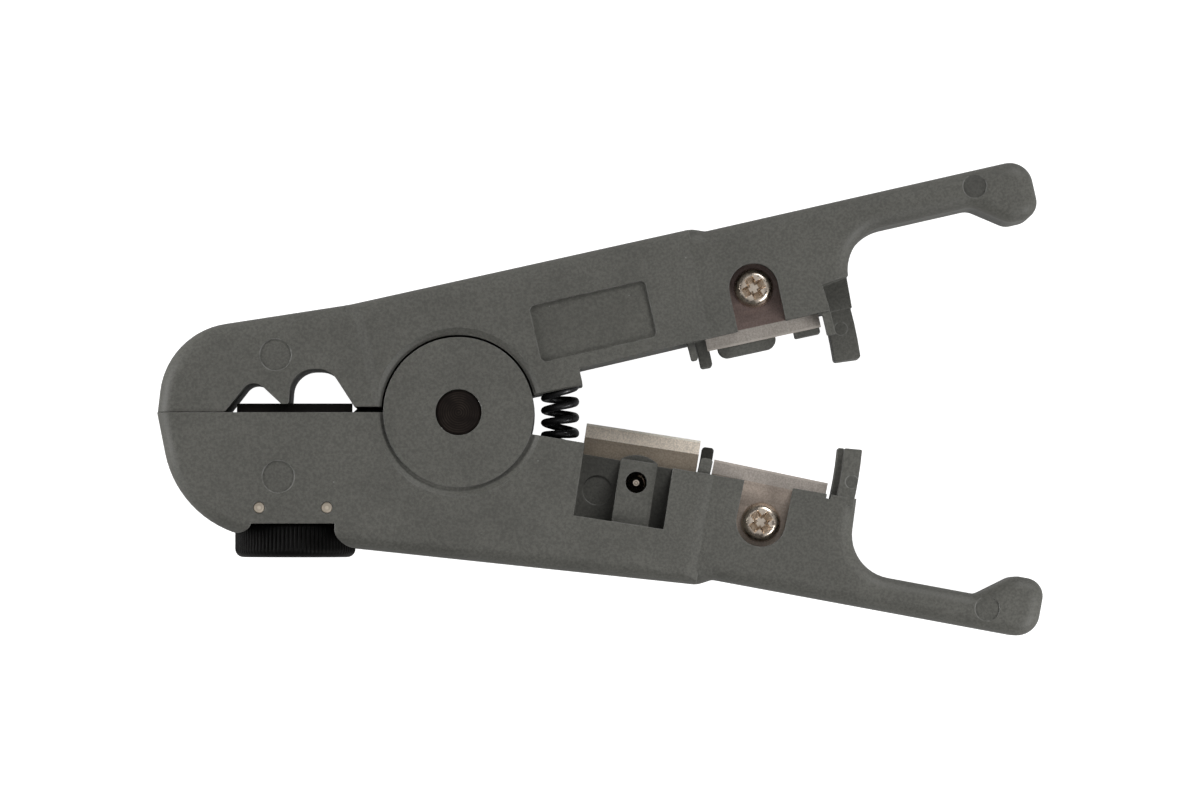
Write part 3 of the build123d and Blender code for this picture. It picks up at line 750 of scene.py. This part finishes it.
@dataclass(frozen=True)
class Seat:
    """Where a piece that was modelled upright at the origin goes, in millimetres and degrees."""

    origin: Point
    up: Point = (0.0, 0.0, 1.0)
    turn: float = 0.0

    def matrix(self) -> Matrix:
        """Works out the move to the piece's place.

        Returns:
            The move from local millimetres to the frame's metres.
        """
        tilt = Vector((0.0, 0.0, 1.0)).rotation_difference(Vector(self.up)).to_matrix().to_4x4()
        spin = Matrix.Rotation(math.radians(self.turn), 4, "Z")
        place = Matrix.Translation(Vector(self.origin) * MM)
        return place @ tilt @ spin @ Matrix.Scale(MM, 4)


def close_up(bm: Mesh) -> None:
    """Merges a mesh's doubles and turns its faces outwards."""
    bmesh.ops.remove_doubles(bm, verts=bm.verts, dist=WELD)
    bmesh.ops.recalc_face_normals(bm, faces=bm.faces)


def lathe(bm: Mesh, profile: Sequence[tuple[float, float]], steps: int) -> None:
    """Spins an open profile of radius and height a full turn about Z.

    Args:
        bm: the mesh that takes the result.
        profile: radius and height of each point, in millimetres.
        steps: faces round the turn.
    """
    verts = [bm.verts.new((radius, 0.0, height)) for radius, height in profile]
    edges = [bm.edges.new(pair) for pair in zip(verts, verts[1:])]
    bmesh.ops.spin(bm, geom=verts + edges, cent=(0, 0, 0), axis=(0, 0, 1), dvec=(0, 0, 0),
                   angle=2.0 * math.pi, steps=steps, use_merge=True, use_duplicate=False)
    close_up(bm)


def coil(bm: Mesh, radius: float, wire: float, start: float,
         runs: Sequence[tuple[float, float]], steps: int, sides: int) -> None:
    """Spins a round wire up a screw line about Z.

    Args:
        bm: the mesh that takes the result.
        radius: radius of the wire's own centre line, in millimetres.
        wire: radius of the wire, in millimetres.
        start: height of the first centre, in millimetres.
        runs: turns and pitch of each run of the coil, from the bottom up.
        steps: faces along one turn.
        sides: faces round the wire.
    """
    ring = bmesh.ops.create_circle(bm, segments=sides, radius=wire, cap_ends=True)["verts"]
    upright = Matrix.Rotation(math.pi / 2, 3, "X")
    bmesh.ops.rotate(bm, verts=ring, cent=(0, 0, 0), matrix=upright)
    bmesh.ops.translate(bm, verts=ring, vec=(radius, 0.0, start))
    front = list({edge for vert in ring for edge in vert.link_edges}) + ring
    for turns, pitch in runs:
        count = max(1, round(turns * steps))
        rise = turns * pitch / count
        result = bmesh.ops.spin(
            bm, geom=front, cent=(0, 0, 0), axis=(0, 0, 1), dvec=(0, 0, rise),
            angle=2.0 * math.pi * turns, steps=count, use_duplicate=False)
        front = [part for part in result["geom_last"]
                 if isinstance(part, (bmesh.types.BMVert, bmesh.types.BMEdge))]
    rim = [part for part in front if isinstance(part, bmesh.types.BMEdge)]
    bmesh.ops.contextual_create(bm, geom=rim)
    close_up(bm)


def as_object(bm: Mesh, name: str) -> Piece:
    """Turns a finished mesh into an object in the scene.

    Args:
        bm: the mesh, which is freed.
        name: the object's name.

    Returns:
        The object.
    """
    mesh = bpy.data.meshes.new(name)
    bm.to_mesh(mesh)
    bm.free()
    piece = bpy.data.objects.new(name, mesh)
    bpy.context.scene.collection.objects.link(piece)
    return piece


def carve(bm: Mesh, cutter: Mesh) -> Mesh:
    """Cuts one closed mesh out of another.

    Args:
        bm: the mesh that is cut, which is freed.
        cutter: the mesh that is taken away, which is freed.

    Returns:
        The mesh with the cut.
    """
    whole, tool = as_object(bm, "carve_whole"), as_object(cutter, "carve_tool")
    change = whole.modifiers.new("carve", "BOOLEAN")
    change.operation, change.solver, change.object = "DIFFERENCE", "EXACT", tool
    change.use_self = True
    depsgraph = bpy.context.evaluated_depsgraph_get()
    mesh = bpy.data.meshes.new_from_object(whole.evaluated_get(depsgraph))
    result = bmesh.new()
    result.from_mesh(mesh)
    for used in (whole, tool):
        bpy.data.objects.remove(used)
    bpy.data.meshes.remove(mesh)
    return result


def soften(piece: Piece, width_mm: float, angle: float) -> None:
    """Rounds a piece's sharp edges by a small real width.

    Args:
        piece: the piece.
        width_mm: the rounding's width, in millimetres.
        angle: angle in degrees above which an edge is sharp.
    """
    change = piece.modifiers.new("soft_edges", "BEVEL")
    change.width = width_mm * MM
    change.segments = 2
    change.limit_method = "ANGLE"
    change.angle_limit = math.radians(angle)
    change.harden_normals = True


def settle(bm: Mesh, name: str, seat: Seat, material: Material,
           sharp: float = 32.0) -> Piece:
    """Puts a finished mesh in its place and gives it its finish.

    Args:
        bm: the mesh, in millimetres about its own origin.
        name: the piece's name.
        seat: where the piece goes.
        material: its finish.
        sharp: angle in degrees above which an edge stays sharp.

    Returns:
        The finished piece, its object at the origin.
    """
    bmesh.ops.transform(bm, matrix=seat.matrix(), verts=bm.verts)
    piece = as_object(bm, name)
    piece.data.shade_smooth()
    piece.data.set_sharp_from_angle(angle=math.radians(sharp))
    piece.data.materials.append(material)
    return piece


def middle(node: str) -> Vector:
    """Returns the centre of a CAD node's box, in millimetres."""
    low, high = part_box(node)
    return (low + high) / (2.0 * MM)


def ends(node: str, axis: int) -> tuple[float, float]:
    """Returns a CAD node's lowest and highest place along one axis, in millimetres."""
    low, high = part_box(node)
    return low[axis] / MM, high[axis] / MM


def half_width(node: str) -> float:
    """Returns half of a CAD node's width along X, in millimetres."""
    left, right = ends(node, 0)
    return (right - left) / 2


def along_y(node: str) -> Seat:
    """Returns the seat of a piece whose axis is the CAD node's own, along Y."""
    centre = middle(node)
    return Seat((centre.x, 0.0, centre.z), (0.0, 1.0, 0.0))


def dress(node: str, material: Material) -> None:
    """Gives a CAD node its finish in all its slots.

    Args:
        node: the node's name.
        material: its finish.
    """
    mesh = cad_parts[node].data
    if not mesh.materials:
        mesh.materials.append(material)
    for place in range(len(mesh.materials)):
        mesh.materials[place] = material
    LOG.info("%s: dressed in %s", node, material.name)


# Sub-assemblies


class Face(Enum):
    """Which way a screw's head looks."""

    FRONT = 1.0
    BACK = -1.0


@dataclass
class PanHeadScrew:
    """Cross recessed pan head screw, sizes in millimetres.

    The head's outline is in shares of its radius and height. The cross has two arms, which
    narrow to shares of their length and width at the foot, and a round core.
    """

    node: str
    body: str
    turn: float
    face: Face = Face.FRONT
    head_radius: float = 2.8
    head_height: float = 1.9
    head_outline: Outline = (
        (0.0, 1.0), (0.45, 0.99), (0.66, 0.96), (0.76, 0.89), (0.84, 0.75), (0.92, 0.52),
        (1.0, 0.22), (1.0, 0.07), (0.96, 0.0),
    )
    root_radius: float = 1.2
    neck_fillet: float = 0.25
    point_length: float = 1.0
    point_radius: float = 0.45
    dimple_radii: tuple[float, float] = (0.24, 0.18)
    dimple_depth: float = 0.3
    pitch: float = 0.5
    thread_wire: float = 0.27
    thread_sink: float = 0.02
    thread_start: float = 1.1
    plain_length: float = 1.7
    recess_depth: float = 1.3
    overshoot: float = 0.2
    arm_length: float = 1.9
    arm_width: float = 1.5
    arm_foot: tuple[float, float] = (0.36, 0.4)
    core_radii: tuple[float, float] = (0.4, 0.9)
    soft_edge: float = 0.05
    steps: int = 48
    thread_steps: int = 24
    thread_sides: int = 4

    def blank(self, length: float) -> Mesh:
        """Turns the head, the plain shank and the point in one shape.

        Args:
            length: the shank's length.

        Returns:
            The mesh, with the underside of the head at height 0.
        """
        root, tip = self.root_radius, self.dimple_depth - length
        head = [(across * self.head_radius, up * self.head_height)
                for across, up in self.head_outline]
        shank = [
            (root + self.neck_fillet, 0.0), (root, -self.neck_fillet),
            (root, self.point_length - length), (self.point_radius, -length),
            (self.dimple_radii[0], -length), (self.dimple_radii[1], tip), (0.0, tip),
        ]
        bm = bmesh.new()
        lathe(bm, head + shank, self.steps)
        return bm

    def recess(self) -> Mesh:
        """Makes the tapered cross that is cut into the head.

        Returns:
            The mesh, in the place where it cuts.
        """
        bm = bmesh.new()
        top = self.head_height + self.overshoot
        height = self.recess_depth + self.overshoot
        for turn in (0.0, math.pi / 2):
            arm = bmesh.ops.create_cube(bm, size=1.0)["verts"]
            bmesh.ops.scale(bm, verts=arm, vec=(2 * self.arm_length, self.arm_width, height))
            bmesh.ops.translate(bm, verts=arm, vec=(0.0, 0.0, top - height / 2))
            foot = [vert for vert in arm if vert.co.z < top - self.recess_depth / 2]
            bmesh.ops.scale(bm, verts=foot, vec=(*self.arm_foot, 1.0))
            bmesh.ops.rotate(bm, verts=arm, cent=(0, 0, 0), matrix=Matrix.Rotation(turn, 3, "Z"))
        rise = self.overshoot / 2
        radius_low, radius_high = self.core_radii
        core = bmesh.ops.create_cone(bm, segments=16, radius1=radius_low, radius2=radius_high,
                                     cap_ends=True, depth=self.recess_depth + rise)["verts"]
        centre = self.head_height - (self.recess_depth - rise) / 2
        bmesh.ops.translate(bm, verts=core, vec=(0.0, 0.0, centre))
        return bm

    def build(self, material: Material) -> Piece:
        """Makes the screw and puts it in place of its CAD node.

        Args:
            material: its finish.

        Returns:
            The finished screw.
        """
        low, high = ends(self.node, 2)
        length = high - low - self.head_height
        bm = carve(self.blank(length), self.recess())
        turns = (length - self.plain_length) / self.pitch
        coil(bm, self.root_radius - self.thread_sink, self.thread_wire,
             self.thread_start - length, [(turns, self.pitch)], self.thread_steps,
             self.thread_sides)
        centre = middle(self.node)
        front = self.face is Face.FRONT
        level = high - self.head_height if front else low + self.head_height
        seat = Seat((centre.x, centre.y, level), (0.0, 0.0, self.face.value), self.turn)
        piece = settle(bm, f"{self.node}_piece", seat, material)
        soften(piece, self.soft_edge, 40.0)
        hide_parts(self.node)
        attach(piece, self.body)
        return piece


@dataclass
class ThumbWheel:
    """Ribbed wheel that lifts the nose blade, with its grooved neck, sizes in millimetres.

    The groove, the rim's top and the bore's floor are places along Y in the frame. The dish's
    outline is the distance past its radius and a share of its depth, and the top outline is
    the distance past the rim's radius and past its top.
    """

    ribs: int = 90
    rib_depth: float = 0.24
    rib_sharpness: float = 1.5
    rib_band: float = 0.9
    rib_fade: float = 0.7
    steps_per_rib: int = 6
    rim_round: float = 1.2
    round_steps: int = 6
    rim_rings: tuple[float, float] = (1.6, 2.0)
    rim_top: float = -15.9
    top_outline: Outline = ((0.0, -0.9), (0.0, -0.35), (-0.12, -0.1), (-0.35, 0.0))
    plain_top: float = 0.05
    plain_foot: float = 0.45
    foot_fade: float = 0.8
    neck_radius: float = 5.5
    neck_chamfer: float = 0.2
    groove_radius: float = 3.94
    groove: tuple[float, float] = (-14.42, -12.68)
    bore_radius: float = 2.02
    bore_floor: float = -17.5
    dish_radius: float = 5.6
    dish_depth: float = 0.5
    dish_outline: Outline = ((-0.5, 1.0), (-0.1, 0.8), (0.35, 0.12), (0.6, 0.0))

    def profile(self, rim: float, bottom: float, top: float) -> list[tuple[float, float]]:
        """Draws the wheel's half section, from its dish round to its bore.

        Args:
            rim: the rim's radius.
            bottom: the wheel's lowest place.
            top: its highest place.

        Returns:
            Radius and height of each point.
        """
        dish = [(self.dish_radius + past, bottom + share * self.dish_depth)
                for past, share in self.dish_outline]
        angles = [math.pi / 2 * step / self.round_steps for step in range(self.round_steps + 1)]
        rounding = [(rim - self.rim_round * (1 - math.sin(angle)),
                     bottom + self.rim_round * (1 - math.cos(angle))) for angle in angles]
        rings = [(rim, bottom + height) for height in self.rim_rings]
        shoulder = [(rim + past, self.rim_top + height) for past, height in self.top_outline]
        neck, groove, bore = self.neck_radius, self.groove_radius, self.bore_radius
        foot, head = self.groove
        return [
            (0.0, bottom + self.dish_depth), *dish, *rounding, *rings, *shoulder,
            (neck, self.rim_top), (neck, foot), (groove, foot), (groove, head), (neck, head),
            (neck, top - self.neck_chamfer), (neck - self.neck_chamfer, top), (bore, top),
            (bore, self.bore_floor), (0.0, self.bore_floor),
        ]

    def press_ribs(self, bm: Mesh, rim: float, bottom: float) -> None:
        """Presses the hollows between the ribs into the rim.

        Args:
            bm: the turned wheel.
            rim: the rim's radius.
            bottom: the wheel's lowest place.
        """
        for vert in bm.verts:
            radius = math.hypot(vert.co.x, vert.co.y)
            if radius < rim - self.rib_band or vert.co.z > self.rim_top - self.plain_top:
                continue
            phase = math.atan2(vert.co.y, vert.co.x) * self.ribs
            fade = min(1.0, (radius - rim + self.rib_band) / self.rib_fade)
            above = vert.co.z - bottom - self.plain_foot
            fade *= min(1.0, max(0.0, above / self.foot_fade))
            hollow = (0.5 - 0.5 * math.cos(phase)) ** self.rib_sharpness
            keep = 1.0 - fade * self.rib_depth * hollow / radius
            vert.co.x, vert.co.y = vert.co.x * keep, vert.co.y * keep

    def build(self, material: Material) -> Piece:
        """Makes the wheel and puts it in place of its CAD node.

        Args:
            material: its finish.

        Returns:
            The finished wheel.
        """
        rim = half_width("thumb_wheel")
        bottom, top = ends("thumb_wheel", 1)
        bm = bmesh.new()
        lathe(bm, self.profile(rim, bottom, top), self.ribs * self.steps_per_rib)
        self.press_ribs(bm, rim, bottom)
        piece = settle(bm, "thumb_wheel_piece", along_y("thumb_wheel"), material,
                       48.0)
        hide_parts("thumb_wheel")
        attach(piece, "wheel_body")
        return piece


@dataclass
class OpeningSpring:
    """Coil spring between the arms, sizes in millimetres.

    The fan is how far each millimetre of height opens out for each millimetre away from the
    coil's axis, and the mouth is the height at which it starts to close up again.
    """

    wire: float = 0.56
    mean_radius: float = 2.2
    end_turns: float = 0.8
    end_pitch: float = 1.14
    pitch: float = 2.0
    steps: int = 36
    sides: int = 16
    fan: float = 0.048
    mouth: float = 3.5

    def spread(self, bm: Mesh, low: float, high: float) -> None:
        """Fans the straight coil out on one side, and not at all at its ends.

        Args:
            bm: the coil.
            low: its lowest place.
            high: its highest place.
        """
        for vert in bm.verts:
            height = vert.co.z
            end = high if height > 0 else -low
            closing = self.mouth * max(0.0, end - abs(height)) / (end - self.mouth)
            share = math.copysign(min(abs(height), closing), height)
            vert.co.z += share * self.fan * vert.co.x

    def build(self, material: Material) -> Piece:
        """Makes the spring, closed at its ends, and puts it between the two arms.

        Args:
            material: its finish.

        Returns:
            The finished spring.
        """
        low, high = ends("handle_spring", 1)
        free = high - low - 2 * self.wire - 2 * self.end_turns * self.end_pitch
        closed = (self.end_turns, self.end_pitch)
        bm = bmesh.new()
        coil(bm, self.mean_radius, self.wire, low + self.wire,
             [closed, (free / self.pitch, self.pitch), closed], self.steps, self.sides)
        self.spread(bm, low, high)
        piece = settle(bm, "handle_spring_piece", along_y("handle_spring"), material,
                       60.0)
        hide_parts("handle_spring")
        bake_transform(piece)
        return piece


@dataclass
class TurnedPin:
    """Plain pin with broken edges, standing upright through the arms, sizes in millimetres."""

    node: str
    body: str
    slot: str
    chamfer: float
    dish: float
    steps: int = 64

    def build(self, material: Material) -> Piece:
        """Makes the pin and puts it in place of its CAD node.

        Args:
            material: its finish.

        Returns:
            The finished pin.
        """
        centre = middle(self.node)
        low, high = ends(self.node, 2)
        radius = half_width(self.node)
        edge = self.chamfer
        half = [
            (0.0, high - self.dish), (0.45 * radius, high - 0.8 * self.dish),
            (0.8 * radius, high - 0.2 * self.dish), (radius - edge, high),
            (radius - 0.3 * edge, high - 0.3 * edge), (radius, high - edge),
        ]
        mirrored = [(across, low + high - height) for across, height in reversed(half)]
        bm = bmesh.new()
        lathe(bm, half + mirrored, self.steps)
        seat = Seat((centre.x, centre.y, 0.0))
        piece = settle(bm, f"{self.node}_piece", seat, material)
        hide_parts(self.node)
        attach(piece, self.body)
        return piece


@dataclass
class AdjusterStud:
    """Threaded stud that turns with the wheel and lifts the holder, sizes in millimetres."""

    pitch: float = 0.7
    thread_depth: float = 0.35
    thread_start: float = 0.6
    plain_length: float = 1.4
    chamfer: float = 0.3
    steps: int = 48
    thread_steps: int = 32
    thread_sides: int = 4

    def build(self, material: Material) -> Piece:
        """Makes the stud and puts it in place of its CAD node.

        Args:
            material: its finish.

        Returns:
            The finished stud.
        """
        low, high = ends("wheel_stud", 1)
        root = half_width("wheel_stud") - self.thread_depth
        bm = bmesh.new()
        lathe(bm, [(0.0, high), (root - self.chamfer, high), (root, high - self.chamfer),
                   (root, low), (0.0, low)], self.steps)
        turns = (high - low - self.plain_length) / self.pitch
        coil(bm, root, self.thread_depth, low + self.thread_start, [(turns, self.pitch)],
             self.thread_steps, self.thread_sides)
        piece = settle(bm, "wheel_stud_piece", along_y("wheel_stud"), material)
        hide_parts("wheel_stud")
        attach(piece, "wheel_body")
        return piece


# Studio


@dataclass(frozen=True)
class Lamp:
    """Soft rectangular lamp that looks at the tool, in metres and watts."""

    name: str
    place: Point
    size: tuple[float, float]
    power: float
    aim: Point = (0.02, 0.0, 0.01)

    def hang(self) -> None:
        """Hangs the lamp in its place, unseen by the camera."""
        data = bpy.data.lights.new(self.name, "AREA")
        data.shape = "RECTANGLE"
        data.size, data.size_y = self.size
        data.energy = self.power
        lamp = bpy.data.objects.new(self.name, data)
        bpy.context.scene.collection.objects.link(lamp)
        lamp.visible_camera = False
        lamp.location = self.place
        direction = Vector(self.aim) - Vector(self.place)
        lamp.rotation_euler = direction.to_track_quat("-Z", "Y").to_euler()


@dataclass
class Studio:
    """White table, soft light and the camera above it, sizes in metres.

    The table glows white to the camera, and by the weaker bounce to everything else.
    """

    table: float = 6.0
    table_gap: float = 0.00005
    table_tone: float = 0.35
    glow: float = 1.02
    bounce: float = 0.25
    lamps: tuple[Lamp, ...] = (
        Lamp("key_lamp", (0.45, 0.85, 0.50), (0.45, 0.35), 7.4),
        Lamp("right_lamp", (0.26, -0.16, 0.16), (0.16, 0.12), 0.8),
        Lamp("left_lamp", (-0.38, 0.03, 0.15), (0.2, 0.2), 1.6),
        Lamp("ceiling_lamp", (0.02, 0.02, 0.90), (0.8, 0.8), 1.05),
    )
    room_light: float = 0.10
    eye: Point = (0.0201, -0.0280, 1.212)
    target: Point = (0.0201, 0.0018, 0.020)
    view_width: float = 0.1704
    sensor_mm: float = 36.0

    def stand(self) -> None:
        """Lays the white table under the tool."""
        bm = bmesh.new()
        bmesh.ops.create_grid(bm, x_segments=4, y_segments=4, size=self.table / 2)
        bmesh.ops.translate(bm, verts=bm.verts, vec=(0.0, 0.0, -self.table_gap))
        table = as_object(bm, "white_table")
        material = bpy.data.materials.new("white_table")
        material.use_nodes = True
        wiring = Wiring(material.node_tree)
        seen = wiring.put("ShaderNodeLightPath").outputs["Is Camera Ray"]
        glow = wiring.reckon("MULTIPLY_ADD", seen, self.glow - self.bounce, self.bounce)
        shader = material.node_tree.nodes["Principled BSDF"]
        for key, value in (("Base Color", (*even(self.table_tone), 1.0)),
                           ("Emission Color", (1.0, 1.0, 1.0, 1.0)),
                           ("Emission Strength", glow), ("Roughness", 0.9),
                           ("Specular IOR Level", 0.1)):
            wiring.feed(shader, key, value)
        table.data.materials.append(material)

    def light(self) -> None:
        """Lights the table from above right, with weak fills and a white room."""
        for lamp in self.lamps:
            lamp.hang()
        world = bpy.data.worlds.new("white_room")
        world.use_nodes = True
        background = world.node_tree.nodes["Background"]
        background.inputs["Color"].default_value = (1.0, 1.0, 1.0, 1.0)
        background.inputs["Strength"].default_value = self.room_light
        bpy.context.scene.world = world
        bpy.context.scene.view_settings.view_transform = "Standard"

    def look(self) -> None:
        """Sets up the camera at the photograph's viewing angle."""
        data = bpy.data.cameras.new("camera")
        eye, target = Vector(self.eye), Vector(self.target)
        data.sensor_width = self.sensor_mm
        data.lens = self.sensor_mm * (target - eye).length / self.view_width
        data.clip_end = 10.0
        camera = bpy.data.objects.new("camera", data)
        bpy.context.scene.collection.objects.link(camera)
        camera.location = eye
        camera.rotation_euler = (target - eye).to_track_quat("-Z", "Y").to_euler()
        bpy.context.scene.camera = camera

    def build(self) -> None:
        """Builds the whole studio."""
        self.stand()
        self.light()
        self.look()
        LOG.info("studio ready")


# This tool's own finishes and screws

ARM_GREY = (0.0790, 0.0780, 0.0692)
# The last value of each pin mark is the painted shade of its sunken disc
ARMS = (
    MouldedPlastic(
        "upper_arm", ARM_GREY, panel=PanelPlace(19.12, 12.91, 12.8, 16.9, 8.2),
        marks=(PinMark(-26.01, 8.16, FRONT_LEVEL, 2.25, 0.03),
               PinMark(73.39, 32.16, FRONT_LEVEL, 1.7, 0.40),
               PinMark(54.6, 12.2, 10.5, 0.95, 0.12))),
    MouldedPlastic(
        "lower_arm", ARM_GREY,
        marks=(PinMark(-25.59, -9.16, FRONT_LEVEL, 2.3, 0.03),
               PinMark(75.09, -27.9, FRONT_LEVEL, 1.75, 0.10),
               PinMark(55.9, -9.9, FRONT_LEVEL, 0.95, 0.15))),
)
# Its pale edges stand for rubbed plastic and a painted highlight
BLACK_PLASTIC = MouldedPlastic("black_plastic", (0.0034, 0.0032, 0.0030), roughness=0.5,
                               grain_mm=0.25, dust_and_highlight=even(0.05), wear_and_highlight=0.3, specular=0.06)
BLADES = (
    GroundSteel("upper_strip_blade", edge=(43.766, 10.520, 16.5), angle=12.18, outward=-1.0,
                tone=(0.175, 0.128, 0.115), bevel_tone=(0.34, 0.31, 0.28)),
    GroundSteel("lower_strip_blade", edge=(44.238, -8.296, 16.5), angle=-11.83, outward=1.0,
                tone=(0.37, 0.31, 0.265), bevel_tone=(0.34, 0.305, 0.275)),
    GroundSteel("cutter_blade", edge=(26.378, -2.628, 11.0), angle=-8.77, outward=1.0,
                tone=(0.34, 0.285, 0.225), bevel_tone=(0.80, 0.72, 0.62)),
    # The nose blade is the same steel as the strip blades; its near-black tones are painted shade
    GroundSteel("nose_blade", edge=(-23.5, 1.4, 13.3), angle=0.0, outward=1.0,
                tone=(0.018, 0.016, 0.015), bevel_tone=(0.024, 0.021, 0.019)),
)
SCREWS = (
    PanHeadScrew("upper_strip_screw", "upper_body", turn=28.0),
    PanHeadScrew("lower_strip_screw", "lower_body", turn=36.0),
    PanHeadScrew("nose_blade_screw", "holder_body", turn=5.0),
    PanHeadScrew("cutter_screw", "lower_body", turn=20.0, face=Face.BACK),
)
PIVOT_STEEL = TurnedSteel("dark_pin", centre=(0.0, 0.0, 0.0), tone=(0.011, 0.008, 0.007),
                          ring_tone=(0.034, 0.026, 0.021))


def bright_steel(node: str) -> TurnedSteel:
    """Returns a wheel pin's finish, its rings centred on the pin."""
    centre = middle(node)
    return TurnedSteel(node, centre=(centre.x, centre.y, 0.0), tone=(0.42, 0.36, 0.29),
                       ring_tone=(0.64, 0.57, 0.47), ring_mm=0.5, roughness=0.4, metallic=0.35)


def main() -> None:
    """Dresses the CAD nodes, adds the finer pieces and builds the studio."""
    logging.basicConfig(level=logging.INFO, format="%(name)s: %(message)s")
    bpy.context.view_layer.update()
    groups = ReliefGroups()
    black = BLACK_PLASTIC.build(groups)
    nickel = PlatedSteel("nickel").build(groups)
    for arm in ARMS:
        dress(arm.name, arm.build(groups))
    dress("blade_holder", black)
    for blade in BLADES:
        dress(blade.name, blade.build(groups))
    pieces = [screw.build(nickel) for screw in SCREWS]
    pieces.append(ThumbWheel().build(black))
    pieces.append(OpeningSpring().build(BlackenedWire("black_spring").build(groups)))
    dark = PIVOT_STEEL.build(groups)
    pieces.append(TurnedPin("pivot_pin", "lower_body", "dark_pin", 0.25, 0.08).build(dark))
    pieces.append(AdjusterStud().build(dark))
    for node in ("wheel_pin_left", "wheel_pin_right"):
        pin = TurnedPin(node, "lower_body", "pin_steel", chamfer=0.12, dish=0.03, steps=32)
        pieces.append(pin.build(bright_steel(node).build(groups)))
    for piece in pieces:
        LOG.info("%s: %d faces", piece.name, len(piece.data.polygons))
    Studio().build()


if __name__ == "__main__":
    main()
